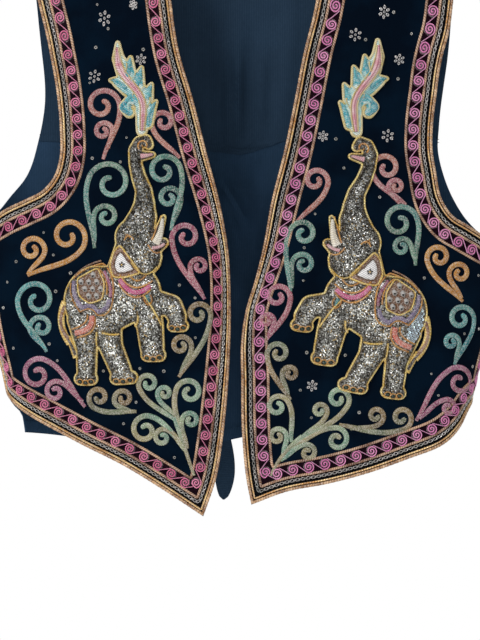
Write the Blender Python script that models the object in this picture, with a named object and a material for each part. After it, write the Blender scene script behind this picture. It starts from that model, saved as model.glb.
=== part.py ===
"""An open, embroidered waistcoat: two velvet fronts, a plain back with a cross seam, and back ties.

Every piece is cut flat and then draped. A flat point is (across, up, out): across is measured along
the cloth from the centre line, up is the height in the garment, and out is the distance in front of
the cloth's outer face. Metres, +Z up, the wearer faces -Y, and the origin lies between the two
neck points, level with the top of the shoulders, where the wearer's shoulders hold the garment up.
"""

from collections import namedtuple

import bmesh
import bpy
import numpy as np
from mathutils import Vector
from mathutils.geometry import delaunay_2d_cdt

# Cloth
FRONT_THICKNESS = 0.0020
BACK_THICKNESS = 0.0012
SEAM_GAP = 0.0003
LAID_ON = 0.0007

# Hollow form that the cloth hangs in: each level section is a shallow crown with round sides
FRONT_CROWN = 1.0
BACK_CROWN = 1.6
SIDE_RADIUS = 0.045
NECK_POINT = 0.087
SHOULDER_TIP = 0.205
SHOULDER_DROP = 0.045
FRONT_SHOULDER_DEPTH = 0.110
BACK_SHOULDER_DEPTH = 0.090
FRONT_SHOULDER_CLOTH = 0.140
BACK_SHOULDER_CLOTH = 0.1175
CROWDING = 0.55

# Front edge, where the cloth rolls back towards the body
ROLL_WIDTH = 0.045

# Edging braid
BRAID_WIDTH = 0.0048
BRAID_HEIGHT = 0.0020
BRAID_STEP = 0.015

# Padded motifs
PAD_EDGE = 0.0012
PAD_WALL = 0.0010
PAD_REACH = 0.016
PAD_STEP = 0.0110
OUTLINE_STEP = 0.0055
EDGE_CLEAR = 0.003

# Back ties
TIE_WIDTH = 0.021
TIE_THICKNESS = 0.0012
TIE_HEIGHT = -0.386
TIE_POINT = 0.16
KNOT_ACROSS = 0.012
KNOT_SIZE = (0.030, 0.012, 0.027)

Girth = namedtuple("Girth", "height half_width")
GIRTHS = [
    Girth(0.030, 0.221),
    Girth(-0.100, 0.226),
    Girth(-0.200, 0.233),
    Girth(-0.300, 0.240),
    Girth(-0.370, 0.238),
    Girth(-0.410, 0.2310),
    Girth(-0.434, 0.2250),
    Girth(-0.457, 0.2200),
    Girth(-0.475, 0.2150),
    Girth(-0.510, 0.2100),
    Girth(-0.580, 0.2060),
]

# A front's free edge: its distance from the centre line as worn, and how far it turns back there
Edge = namedtuple("Edge", "height across roll_degrees")
Point = namedtuple("Point", "across height")
Seam = namedtuple("Seam", "top foot degrees")
Side = namedtuple("Side", "name sign seam edge armhole back_armhole hem")

RIGHT_SIDE = Side(
    name="right",
    sign=-1,
    seam=Seam(top=-0.295, foot=-0.456, degrees=80),
    edge=[
        Edge(0.030, 0.087, 0),
        Edge(-0.092, 0.0645, 6),
        Edge(-0.138, 0.0570, 12),
        Edge(-0.184, 0.0437, 18),
        Edge(-0.230, 0.0322, 26),
        Edge(-0.276, 0.0204, 42),
        Edge(-0.322, 0.0125, 56),
        Edge(-0.368, 0.0103, 58),
        Edge(-0.414, 0.0106, 44),
        Edge(-0.460, 0.0130, 26),
        Edge(-0.497, 0.0167, 16),
        Edge(-0.534, 0.0230, 12),
        Edge(-0.568, 0.0345, 10),
    ],
    armhole=[
        Point(0.1900, -0.0975),
        Point(0.1785, -0.137),
        Point(0.1705, -0.181),
        Point(0.1680, -0.210),
        Point(0.1685, -0.237),
        Point(0.1730, -0.252),
        Point(0.1845, -0.266),
        Point(0.2015, -0.2745),
        Point(0.2217, -0.283),
        Point(0.2350, -0.289),
    ],
    back_armhole=[
        Point(0.1965, -0.100),
        Point(0.1910, -0.183),
        Point(0.1960, -0.210),
        Point(0.2100, -0.250),
        Point(0.2240, -0.266),
        Point(0.2380, -0.280),
    ],
    hem=[
        Point(0.0715, -0.5433),
        Point(0.1096, -0.5205),
        Point(0.1470, -0.5023),
        Point(0.1873, -0.4815),
    ],
)
LEFT_SIDE = Side(
    name="left",
    sign=1,
    seam=Seam(top=-0.321, foot=-0.462, degrees=98),
    edge=[
        Edge(0.030, 0.087, 0),
        Edge(-0.092, 0.0704, 4),
        Edge(-0.138, 0.0587, 6),
        Edge(-0.184, 0.0497, 8),
        Edge(-0.230, 0.0404, 14),
        Edge(-0.276, 0.0291, 26),
        Edge(-0.322, 0.0212, 50),
        Edge(-0.350, 0.0145, 64),
        Edge(-0.378, 0.0060, 60),
        Edge(-0.405, 0.0014, 36),
        Edge(-0.440, 0.0008, 16),
        Edge(-0.497, 0.0018, 8),
        Edge(-0.534, 0.0055, 6),
        Edge(-0.557, 0.0100, 6),
    ],
    armhole=[
        Point(0.1995, -0.100),
        Point(0.1950, -0.1247),
        Point(0.1880, -0.1448),
        Point(0.1828, -0.177),
        Point(0.1790, -0.210),
        Point(0.1788, -0.228),
        Point(0.1818, -0.247),
        Point(0.1888, -0.2764),
        Point(0.1990, -0.290),
        Point(0.2109, -0.297),
        Point(0.2320, -0.3077),
    ],
    back_armhole=[
        Point(0.2050, -0.100),
        Point(0.1930, -0.200),
        Point(0.1920, -0.220),
        Point(0.1970, -0.244),
        Point(0.2070, -0.269),
        Point(0.2200, -0.289),
        Point(0.2380, -0.305),
    ],
    hem=[
        Point(0.0420, -0.545),
        Point(0.0795, -0.538),
        Point(0.1171, -0.5285),
        Point(0.1555, -0.5155),
        Point(0.1930, -0.501),
        Point(0.2152, -0.4844),
        Point(0.2290, -0.4700),
    ],
)
SIDES = (RIGHT_SIDE, LEFT_SIDE)

# The hanging ends of the ties, from under the straps to their tips
TIE_ENDS = {
    "right": [
        Point(0.0235, TIE_HEIGHT - TIE_WIDTH / 2 - SEAM_GAP),
        Point(0.0230, -0.440),
        Point(0.0205, -0.490),
        Point(0.0155, -0.535),
        Point(0.0165, -0.5615),
    ],
    "left": [
        Point(-0.0015, TIE_HEIGHT - TIE_WIDTH / 2 - SEAM_GAP),
        Point(-0.0090, -0.440),
        Point(-0.0160, -0.490),
        Point(-0.0215, -0.525),
        Point(-0.0235, -0.550),
    ],
}

# Back: the neck's dip, the cross seam, the hem, and how far the side edges turn in below the side seams
BACK_NECK_DIP = 0.030
CROSS_SEAM = [
    Point(-0.200, -0.208),
    Point(-0.036, -0.213),
    Point(0.000, -0.2245),
    Point(0.032, -0.220),
    Point(0.200, -0.212),
]
BACK_HEM = [
    Point(-0.220, -0.492),
    Point(0.000, -0.501),
    Point(0.018, -0.505),
    Point(0.220, -0.494),
]
VENT_INSET = 0.029
VENT_REACH = 0.022

# Soft folds in the back, from one end to the other; depth is how far the cloth drops towards the wearer
Fold = namedtuple("Fold", "top_across top_height foot_across foot_height depth width")
BACK_FOLDS = [
    Fold(0.028, -0.232, -0.016, -0.320, 0.006, 0.011),
    Fold(0.016, -0.330, -0.004, -0.372, 0.005, 0.009),
    Fold(0.002, -0.080, 0.004, -0.205, 0.005, 0.010),
    Fold(0.013, -0.226, 0.012, -0.258, 0.003, 0.006),
    Fold(-0.003, -0.228, -0.002, -0.262, 0.003, 0.006),
    Fold(-0.120, -0.230, -0.100, -0.480, 0.005, 0.026),
    Fold(0.118, -0.250, 0.108, -0.490, 0.005, 0.026),
    Fold(-0.050, -0.400, -0.046, -0.505, 0.004, 0.018),
    Fold(0.058, -0.395, 0.052, -0.505, 0.004, 0.018),
]
FRONT_FOLDS = {
    "right": [
        Fold(0.205, -0.300, 0.190, -0.470, 0.004, 0.020),
        Fold(0.120, -0.060, 0.135, -0.170, 0.003, 0.022),
    ],
    "left": [
        Fold(0.090, -0.330, 0.060, -0.420, 0.003, 0.020),
        Fold(0.150, -0.060, 0.150, -0.170, 0.003, 0.022),
        Fold(0.215, -0.320, 0.210, -0.450, 0.004, 0.018),
    ],
}

# Padded motifs, each a group of tapered limbs in millimetres; along runs towards the garment's centre line
Limb = namedtuple("Limb", "along up radius to_along to_up to_radius")
ELEPHANT = [
    Limb(-23, 6, 36, 8, 8, 27),
    Limb(0, 20, 24, 13, 62, 22),
    Limb(13, 62, 22, 17, 90, 11.5),
    Limb(17, 90, 11.5, 13, 118, 8),
    Limb(13, 118, 8, 12, 142, 7.5),
    Limb(12, 142, 7.5, 17, 155, 7.5),
    Limb(17, 155, 7.5, 24, 154, 5.5),
    Limb(24, 154, 5.5, 26, 147, 4),
    Limb(27, 62, 9, 33, 57, 6),
    Limb(30, 64, 4, 36, 82, 1.5),
    Limb(18, 4, 17, 27, -30, 11.5),
    Limb(27, -30, 11.5, 27, -38, 10.5),
    Limb(20, -43, 6, 34, -43, 6),
    Limb(20, 14, 13, 47, 9, 10),
    Limb(47, 9, 10, 51, -6, 9.5),
    Limb(43, -14, 6, 57, -14, 6),
    Limb(-34, -8, 20, -35.5, -58, 9.5),
    Limb(-41, -65, 6, -30, -65, 6),
    Limb(-14, -8, 22, -9, -38, 12),
    Limb(-9, -38, 12, -2, -54, 10.5),
    Limb(-10, -61, 6, 6, -61, 6),
]
PLUME = [
    Limb(0, 6, 7, -1, 26, 10),
    Limb(-1, 26, 10, -9, 46, 9.5),
    Limb(-9, 46, 9.5, -18, 62, 7),
    Limb(-18, 62, 7, -25, 84, 1),
    Limb(0, 22, 6, 14, 34, 1),
    Limb(-3, 34, 6, 13, 50, 1),
    Limb(-8, 46, 5, 2, 65, 1),
    Limb(-14, 54, 5, -11, 73, 1),
    Limb(-18, 60, 5, -32, 67, 1),
    Limb(-12, 46, 5, -34, 52, 1),
    Limb(-6, 34, 5, -20, 32, 3),
    Limb(-20, 32, 3, -14, 22, 6.5),
]
Motif = namedtuple("Motif", "limbs pad across height turn_degrees wide tall")
MOTIFS = {
    "right": [
        Motif(ELEPHANT, 0.0050, 0.1065, -0.3772, 0, 1.00, 1.00),
        Motif(PLUME, 0.0030, 0.0900, -0.2130, 0, 1.00, 1.00),
    ],
    "left": [
        Motif(ELEPHANT, 0.0050, 0.1150, -0.3875, 4.5, 1.10, 1.02),
        Motif(PLUME, 0.0030, 0.1060, -0.2140, -2.5, 1.05, 1.03),
    ],
}

VELVET = ("midnight_velvet", (0.004, 0.007, 0.014, 1.0), 0.75)
LINING = ("navy_lining_cloth", (0.012, 0.022, 0.036, 1.0), 0.80)
BRAID = ("gold_braid", (0.55, 0.33, 0.12, 1.0), 0.50)


def empty_scene():
    """Removes every object, so that only the waistcoat is left."""
    for old in list(bpy.data.objects):
        bpy.data.objects.remove(old, do_unlink=True)


def collection_for(name):
    found = bpy.data.collections.new(name)
    bpy.context.scene.collection.children.link(found)
    return found


def cloth_material(finish):
    """A Principled material from a (name, colour, roughness) finish."""
    name, colour, roughness = finish
    made = bpy.data.materials.get(name) or bpy.data.materials.new(name)
    made.use_nodes = True
    shader = made.node_tree.nodes["Principled BSDF"]
    shader.inputs["Base Color"].default_value = colour
    shader.inputs["Roughness"].default_value = roughness
    shader.inputs["Metallic"].default_value = 0.0
    return made


def smooth(at, keys, values):
    """Values, at the places at, of a smooth curve through keys and values; straight beyond its ends."""
    order = np.argsort(keys)
    keys = np.asarray(keys, float)[order]
    values = np.asarray(values, float)[order]
    slopes = np.gradient(values, keys)
    at = np.asarray(at, float)
    i = np.clip(np.searchsorted(keys, at) - 1, 0, len(keys) - 2)
    span = keys[i + 1] - keys[i]
    f = (at - keys[i]) / span
    inside = np.clip(f, 0, 1)
    value = (
        (2 * inside**3 - 3 * inside**2 + 1) * values[i]
        + (inside**3 - 2 * inside**2 + inside) * span * slopes[i]
        + (3 * inside**2 - 2 * inside**3) * values[i + 1]
        + (inside**3 - inside**2) * span * slopes[i + 1]
    )
    end_slope = np.where(f > 1, slopes[i + 1], slopes[i])
    return value + (f - inside) * span * end_slope


def half_width(height):
    return smooth(height, [g.height for g in GIRTHS], [g.half_width for g in GIRTHS])


def section(across, width, crown):
    """Place and depth on a level section, at a distance along the cloth from the centre line."""
    inner = width - SIDE_RADIUS
    turn = np.arcsin(inner / (crown - SIDE_RADIUS))
    beyond = across - crown * turn
    angle = np.where(beyond < 0, across / crown, turn + beyond / SIDE_RADIUS)
    on_crown = beyond < 0
    place = np.where(on_crown, crown * np.sin(angle), inner + SIDE_RADIUS * np.sin(angle))
    depth = np.where(
        on_crown,
        crown * np.cos(angle) - (crown - SIDE_RADIUS) * np.cos(turn),
        SIDE_RADIUS * np.cos(angle),
    )
    return place, depth


def seam_across(height, degrees, crown):
    """Distance along the cloth from the centre line to the side seam, at that angle round the side."""
    turn = np.arcsin((half_width(height) - SIDE_RADIUS) / (crown - SIDE_RADIUS))
    return crown * turn + SIDE_RADIUS * (np.radians(degrees) - turn)


def crest(across):
    """Height of the shoulder's crest over a place: level at the neck, falling to the tip."""
    share = (across - NECK_POINT) / (SHOULDER_TIP - NECK_POINT)
    return -SHOULDER_DROP * np.clip(share, 0, 1.3)


def over_shoulder(across, up, depth, cloth):
    """Height as worn, and share of the body's depth, where cloth curves over the shoulder."""
    top = crest(across)
    run = top - depth + cloth - up
    angle = np.clip(run / cloth, -0.2, 1) * np.pi / 2
    return np.where(run < cloth, top - depth * (1 - np.cos(angle)), up), np.sin(angle)


def fold_drop(across, up, folds):
    """How far soft folds drop the cloth, each a trough along a line that fades at its ends."""
    drop = np.zeros_like(across)
    for fold in folds:
        start = np.array([fold.top_across, fold.top_height])
        run = np.array([fold.foot_across, fold.foot_height]) - start
        length = np.hypot(*run)
        along = ((across - start[0]) * run[0] + (up - start[1]) * run[1]) / length
        off = ((across - start[0]) * run[1] - (up - start[1]) * run[0]) / length
        fade = np.clip(along / length, 0, 1)
        drop += fold.depth * np.sin(np.pi * fade) ** 0.7 * np.exp(-((off / fold.width) ** 2))
    return drop


def edge_roll(side, up):
    """Turn of the front edge in radians, and the flat distance of that edge from the centre line."""
    heights = [row.height for row in side.edge]
    turn = np.radians(np.clip(smooth(up, heights, [row.roll_degrees for row in side.edge]), 0.5, 80))
    worn = smooth(up, heights, [row.across for row in side.edge])
    return turn, worn - ROLL_WIDTH * (1 - np.sin(turn) / turn)


def front_face(side):
    """The function from flat (across, up) to the outer face of one front as worn."""

    def face(across, up):
        away = side.sign * across
        turn, edge = edge_roll(side, up)
        rolled = np.clip(ROLL_WIDTH - (away - edge), 0, None)
        radius = ROLL_WIDTH / turn
        shifted = away + rolled - radius * np.sin(rolled / radius)
        height, share = over_shoulder(shifted, up, FRONT_SHOULDER_DEPTH, FRONT_SHOULDER_CLOTH)
        place, depth = section(shifted, half_width(height), FRONT_CROWN)
        back = radius * (1 - np.cos(rolled / radius)) + fold_drop(away, up, FRONT_FOLDS[side.name])
        return np.stack([side.sign * place, back - depth * share, height], axis=-1)

    return face


def taut_back(across, up):
    """Outer face of the back as worn, without its folds; across runs towards the wearer's right."""
    away = np.abs(across)
    height, share = over_shoulder(away, up, BACK_SHOULDER_DEPTH, BACK_SHOULDER_CLOTH)
    place, depth = section(away, half_width(height), BACK_CROWN)
    return np.stack([-np.sign(across) * place, depth * share, height], axis=-1)


def back_face(across, up):
    worn = taut_back(across, up)
    worn[:, 1] -= fold_drop(across, up, BACK_FOLDS)
    return worn


def drape(mesh, face):
    """Moves a flat mesh onto the garment: across and up along the cloth, out along its normal."""
    flat = np.array([v.co for v in mesh.vertices], float)
    step = 0.0005
    across, up, out = flat.T
    along = face(across + step, up) - face(across - step, up)
    rise = face(across, up + step) - face(across, up - step)
    normal = np.cross(along, rise)
    normal /= np.linalg.norm(normal, axis=1, keepdims=True)
    worn = face(across, up) + out[:, None] * normal
    mesh.vertices.foreach_set("co", worn.astype(np.float32).ravel())
    mesh.update()


def finished(name, mesh, finish, collection):
    """An object for a closed mesh: faces out, smooth but for its edges."""
    work = bmesh.new()
    work.from_mesh(mesh)
    bmesh.ops.recalc_face_normals(work, faces=work.faces)
    work.to_mesh(mesh)
    work.free()
    mesh.shade_smooth()
    mesh.set_sharp_from_angle(angle=np.radians(40))
    mesh.materials.clear()
    mesh.materials.append(cloth_material(finish))
    made = bpy.data.objects.new(name, mesh)
    collection.objects.link(made)
    return made


def through(points, step):
    """Points about step apart on a smooth open curve through a few points."""
    points = np.asarray(points, float)
    knots = np.concatenate([[0], np.cumsum(np.linalg.norm(np.diff(points, axis=0), axis=1))])
    at = np.linspace(0, knots[-1], max(2, round(knots[-1] / step) + 1))
    return np.stack([smooth(at, knots, points[:, 0]), smooth(at, knots, points[:, 1])], axis=1)


def crowded(count, spans=1):
    """count shares from 0 to 1, closer together near the ends of each span, where the cloth bends most."""
    even = np.linspace(0, 1, count)
    turn = 2 * np.pi * spans
    return even - CROWDING * np.sin(turn * even) / turn


def spread(line, count, shares=None):
    """count points along a line of points, ends included: even, or at the shares of its length given."""
    knots = np.concatenate([[0], np.cumsum(np.linalg.norm(np.diff(line, axis=0), axis=1))])
    at = knots[-1] * (np.linspace(0, 1, count) if shares is None else shares)
    return np.stack([np.interp(at, knots, line[:, k]) for k in range(2)], axis=1)


def patch(top, foot, inner, outer, shares):
    """Grid of flat points inside four edges; top and foot hold their points at the shares given."""
    u = shares[None, :, None]
    v = np.linspace(0, 1, len(inner))[:, None, None]
    across = (1 - v) * top[None] + v * foot[None]
    down = (1 - u) * inner[:, None] + u * outer[:, None]
    corners = (1 - v) * ((1 - u) * top[0] + u * top[-1]) + v * ((1 - u) * foot[0] + u * foot[-1])
    return across + down - corners


def cloth_wall(name, flat, faces, raised, thickness, face, finish, collection):
    """A wall of cloth over flat faces, draped: its outer points raised as given, its inside plain."""
    work = bmesh.new()
    under = [work.verts.new((*point, -thickness)) for point in flat]
    for corners in faces:
        work.faces.new([under[i] for i in corners])
    order = {vertex: i for i, vertex in enumerate(under)}
    bmesh.ops.recalc_face_normals(work, faces=work.faces)
    lowest = work.verts[:]
    shell = bmesh.ops.duplicate(work, geom=work.verts[:] + work.edges[:] + work.faces[:])
    for vertex in lowest:
        shell["vert_map"][vertex].co.z = raised[order[vertex]]
    rims = [edge for edge in work.edges if edge.is_boundary]
    bmesh.ops.bridge_loops(work, edges=rims)
    bmesh.ops.recalc_face_normals(work, faces=work.faces)
    mesh = bpy.data.meshes.new(name)
    work.to_mesh(mesh)
    work.free()
    drape(mesh, face)
    return finished(name, mesh, finish, collection)


def front_outline(side):
    """The four flat edges of one front, as distances away from the centre line and heights."""
    neck_up = FRONT_SHOULDER_CLOTH - FRONT_SHOULDER_DEPTH - SEAM_GAP / 2
    tip_up = neck_up - SHOULDER_DROP
    top = np.array([(NECK_POINT, neck_up), (SHOULDER_TIP, tip_up)])
    heights = np.linspace(neck_up, side.edge[-1].height, 120)
    inner = np.stack([edge_roll(side, heights)[1], heights], axis=1)
    seam_heights = np.linspace(side.seam.top, side.seam.foot, 30)
    seam = seam_across(seam_heights, side.seam.degrees, FRONT_CROWN) - SEAM_GAP / 2
    armhole = through([(SHOULDER_TIP, tip_up), *side.armhole, (seam[0], side.seam.top)], 0.004)
    foot = through([inner[-1], *side.hem, (seam[-1], side.seam.foot)], 0.006)
    return top, foot, inner, armhole, np.stack([seam, seam_heights], axis=1)


def back_halves():
    """For each side of the back, its armhole and side lines down to the hem, as (away, height)."""
    neck_up = BACK_SHOULDER_CLOTH - BACK_SHOULDER_DEPTH - SEAM_GAP / 2
    tip = (SHOULDER_TIP, neck_up - SHOULDER_DROP)
    halves = {}
    for side in SIDES:
        hem = BACK_HEM[0] if side.sign > 0 else BACK_HEM[-1]
        heights = np.linspace(side.seam.top, hem.height, 40)
        seam = seam_across(heights, 180 - side.seam.degrees, BACK_CROWN) - SEAM_GAP / 2
        below = np.clip((side.seam.foot - heights) / VENT_REACH, 0, 1)
        seam -= VENT_INSET * below**2 * (3 - 2 * below)
        armhole = through([tip, *side.back_armhole, (seam[0], side.seam.top)], 0.004)
        halves[side.name] = (armhole, np.stack([seam, heights], axis=1))
    return neck_up, halves


def height_on(line, across):
    """Height of a line of points across the back, at the places given."""
    return smooth(across, [p.across for p in line], [p.height for p in line])


def cut_at(line, height):
    """The upper and lower stretches of a falling line, parted at a height."""
    across = np.interp(-height, -line[:, 1], line[:, 0])
    mark = np.array([[across, height]])
    upper = line[line[:, 1] > height + 1e-6]
    lower = line[line[:, 1] < height - 1e-6]
    return np.concatenate([upper, mark]), np.concatenate([mark, lower])


def plain_wall(name, grid, collection):
    """A piece of the back over a grid of flat points."""
    flat, faces = cut_panel(grid)
    raised = np.zeros(len(flat))
    cloth_wall(name, flat, faces, raised, BACK_THICKNESS, back_face, LINING, collection)


def make_back(collection):
    """The back in two pieces, which meet at the cross seam; across is positive on the wearer's right."""
    neck_up, halves = back_halves()
    parted = {}
    for side in SIDES:
        armhole, seam = halves[side.name]
        end = side.sign * np.interp(-CROSS_SEAM[0].height, -armhole[:, 1], armhole[:, 0])
        parted[side.name] = (*cut_at(armhole, float(height_on(CROSS_SEAM, end))), seam)
    left_arm, left_under, left_seam = (line * [-1, 1] for line in parted["left"])
    right_arm, right_under, right_seam = parted["right"]

    columns = 37
    shares = crowded(columns, spans=2)
    neck = np.linspace(-NECK_POINT, NECK_POINT, 41)
    dip = neck_up - BACK_NECK_DIP * np.clip(1 - (neck / NECK_POINT) ** 2, 0, 1) ** 0.8
    tip = [(SHOULDER_TIP, neck_up - SHOULDER_DROP)]
    top = np.concatenate([tip * np.array([-1, 1]), np.stack([neck, dip], axis=1), tip])
    top = spread(top, columns, shares)
    ends = left_arm[-1, 0], right_arm[-1, 0]
    across = ends[0] + (ends[1] - ends[0]) * shares
    seam_line = np.stack([across, height_on(CROSS_SEAM, across)], axis=1)
    half_gap = np.array([0, SEAM_GAP / 2])
    rows = 12
    upper = patch(top, seam_line + half_gap, spread(left_arm, rows), spread(right_arm, rows), shares)
    upper[-1] = seam_line + half_gap
    plain_wall("back_upper", upper, collection)

    under_rows, seam_rows = 6, 15
    left = np.concatenate([spread(left_under, under_rows), spread(left_seam, seam_rows)[1:]])
    right = np.concatenate([spread(right_under, under_rows), spread(right_seam, seam_rows)[1:]])
    across = left[-1, 0] + (right[-1, 0] - left[-1, 0]) * shares
    hem = np.stack([across, height_on(BACK_HEM, across)], axis=1)
    lower = patch(seam_line - half_gap, hem, left, right, shares)
    lower[0] = seam_line - half_gap
    plain_wall("back_lower", lower, collection)


def closed_outline(side):
    """The flat outline of one front as a closed line of points, away from the centre line and up."""
    top, foot, inner, armhole, seam = front_outline(side)
    runs = [spread(top, 30), armhole, seam, foot[::-1], inner[::-1]]
    return np.concatenate([run[:-1] for run in runs])


def inset(outline, distance):
    """A closed outline moved inwards by a distance, without the loops that sharp corners would leave."""
    before = outline - np.roll(outline, 1, axis=0)
    after = np.roll(outline, -1, axis=0) - outline
    area = np.sum(outline[:, 0] * np.roll(outline[:, 1], -1) - outline[:, 1] * np.roll(outline[:, 0], -1))
    inward = 1 if area > 0 else -1

    def normals(run):
        run = run / np.linalg.norm(run, axis=1, keepdims=True)
        return inward * np.stack([-run[:, 1], run[:, 0]], axis=1)

    first, second = normals(before), normals(after)
    mitre = (first + second) / (1 + np.sum(first * second, axis=1, keepdims=True))
    moved = outline + distance * mitre
    start, run = outline, after
    reach = np.sum(run**2, axis=1)
    kept = []
    for point in moved:
        along = np.clip(np.sum((point - start) * run, axis=1) / reach, 0, 1)
        nearest = np.linalg.norm(point - start - along[:, None] * run, axis=1).min()
        if nearest > 0.985 * distance:
            kept.append(point)
    return np.array(kept)


def thinned(line, step, corner_degrees=25):
    """A closed line with points about step apart, and every corner kept."""
    run = np.roll(line, -1, axis=0) - line
    heading = np.arctan2(run[:, 1], run[:, 0])
    bend = np.abs((heading - np.roll(heading, 1) + np.pi) % (2 * np.pi) - np.pi)
    kept = []
    travelled = step
    for i, point in enumerate(line):
        if travelled >= step or bend[i] > np.radians(corner_degrees):
            kept.append(point)
            travelled = 0
        travelled += np.linalg.norm(run[i])
    if np.linalg.norm(kept[-1] - kept[0]) < step / 2:
        kept.pop()
    return np.array(kept)


def make_braid(side, collection):
    """The edging braid round one front: a flattened tube just inside the edge, on the velvet."""
    line = thinned(inset(closed_outline(side), BRAID_WIDTH / 2 + 0.0004), BRAID_STEP)
    curve = bpy.data.curves.new("braid", "CURVE")
    curve.dimensions = "3D"
    curve.bevel_depth = BRAID_WIDTH / 2
    curve.bevel_resolution = 1
    spline = curve.splines.new("POLY")
    spline.points.add(len(line) - 1)
    for point, (away, up) in zip(spline.points, line):
        point.co = (side.sign * away, up, 0, 1)
    spline.use_cyclic_u = True
    guide = bpy.data.objects.new("braid_guide", curve)
    collection.objects.link(guide)
    graph = bpy.context.evaluated_depsgraph_get()
    mesh = bpy.data.meshes.new_from_object(guide.evaluated_get(graph))
    bpy.data.objects.remove(guide)
    flatten = BRAID_HEIGHT / BRAID_WIDTH
    for vertex in mesh.vertices:
        vertex.co.z = vertex.co.z * flatten + BRAID_HEIGHT / 2 + LAID_ON
    drape(mesh, front_face(side))
    return finished("edge_braid_" + side.name, mesh, BRAID, collection)


def limb_outline(limb):
    """The outline of one tapered limb, a round at each end."""
    start = np.array([limb.along, limb.up], float)
    end = np.array([limb.to_along, limb.to_up], float)
    heading = np.arctan2(end[1] - start[1], end[0] - start[0])
    turn = np.linspace(np.pi / 2, 3 * np.pi / 2, 14) + heading
    round_end = np.stack([np.cos(turn), np.sin(turn)], axis=1)
    return np.concatenate([start + limb.radius * round_end, end - limb.to_radius * round_end])


def outline_round(rings):
    """The outer outline of overlapping closed rings of points."""
    corners, loops = [], []
    for ring in rings:
        loops.append(list(range(len(corners), len(corners) + len(ring))))
        corners += [Vector(p) for p in ring]
    found, _, faces, _, _, _ = delaunay_2d_cdt(corners, [], loops, 1, 1e-3)
    edges = {(face[k - 1], face[k]) for face in faces for k in range(len(face))}
    after = {start: end for start, end in sorted(edges) if (end, start) not in edges}
    longest = []
    while after:
        loop = [next(iter(after))]
        while loop[-1] in after:
            loop.append(after.pop(loop[-1]))
        longest = max(longest, loop, key=len)
    return np.array([found[i] for i in longest[:-1]])


def evened(ring, step, passes):
    """A closed line at even steps, softened by a few passes that draw each point towards its neighbours."""
    closed = np.concatenate([ring, ring[:1]])
    length = np.linalg.norm(np.diff(closed, axis=0), axis=1).sum()
    even = spread(closed, max(8, round(length / step)) + 1)[:-1]
    for _ in range(passes):
        even = 0.6 * even + 0.2 * (np.roll(even, 1, axis=0) + np.roll(even, -1, axis=0))
    return even


def motif_outline(motif, sign):
    """The closed outline of a motif, as flat points on a front; it looks towards the centre line."""
    ring = evened(outline_round([limb_outline(limb) for limb in motif.limbs]), 3.0, 2)
    turn = np.radians(motif.turn_degrees)
    spin = np.array([[np.cos(turn), -np.sin(turn)], [np.sin(turn), np.cos(turn)]])
    turned = (ring * [motif.wide, motif.tall]) @ spin.T / 1000
    placed = np.stack([sign * (motif.across - turned[:, 0]), motif.height + turned[:, 1]], axis=1)
    return thinned(placed, OUTLINE_STEP)


def inside(points, outline):
    """Which flat points lie inside a closed outline."""
    x, y = points[:, 0, None], points[:, 1, None]
    ahead = np.roll(outline, -1, axis=0)
    crosses = (outline[:, 1] > y) != (ahead[:, 1] > y)
    rise = np.where(ahead[:, 1] == outline[:, 1], 1, ahead[:, 1] - outline[:, 1])
    meet = outline[:, 0] + (y - outline[:, 1]) / rise * (ahead[:, 0] - outline[:, 0])
    return np.count_nonzero(crosses & (x < meet), axis=1) % 2 == 1


def edge_distance(points, outline):
    """Distance from each flat point to a closed outline."""
    run = np.roll(outline, -1, axis=0) - outline
    offset = points[:, None] - outline
    along = np.clip(np.sum(offset * run, axis=2) / np.sum(run**2, axis=1), 0, 1)
    return np.linalg.norm(offset - along[..., None] * run, axis=2).min(axis=1)


def hex_points(low, high, step):
    """Flat points on a lattice of equal triangles over a box."""
    rows = []
    for row, up in enumerate(np.arange(low[1], high[1], step * 0.866)):
        across = np.arange(low[0] + step / 2 * (row % 2), high[0], step)
        rows.append(np.stack([across, np.full(len(across), up)], axis=1))
    return np.concatenate(rows)


def cut_panel(grid, islands=()):
    """Flat points and faces of a panel: a grid's rim, its inner points, and the islands' outlines."""
    rim = np.concatenate([grid[0, :-1], grid[:-1, -1], grid[-1, :0:-1], grid[:0:-1, 0]])
    field = grid[1:-1, 1:-1].reshape(-1, 2)
    field = field[inside(field, rim) & (edge_distance(field, rim) > EDGE_CLEAR)]
    lines, loose = [], []
    for outline in islands:
        field = field[~inside(field, outline) & (edge_distance(field, outline) > PAD_STEP / 2)]
        filling = hex_points(outline.min(axis=0), outline.max(axis=0), PAD_STEP)
        far = edge_distance(filling, outline) > PAD_WALL + PAD_STEP * 0.4
        lines += [outline, inset(outline, PAD_WALL)]
        loose.append(filling[inside(filling, outline) & far])
    edges, start = [], len(rim)
    for line in lines:
        edges += [(start + i, start + (i + 1) % len(line)) for i in range(len(line))]
        start += len(line)
    points = [Vector(p) for p in np.concatenate([rim, *lines, field, *loose])]
    found, _, faces, _, _, _ = delaunay_2d_cdt(points, edges, [list(range(len(rim)))], 1, 1e-7)
    return np.array(found), faces


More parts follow.
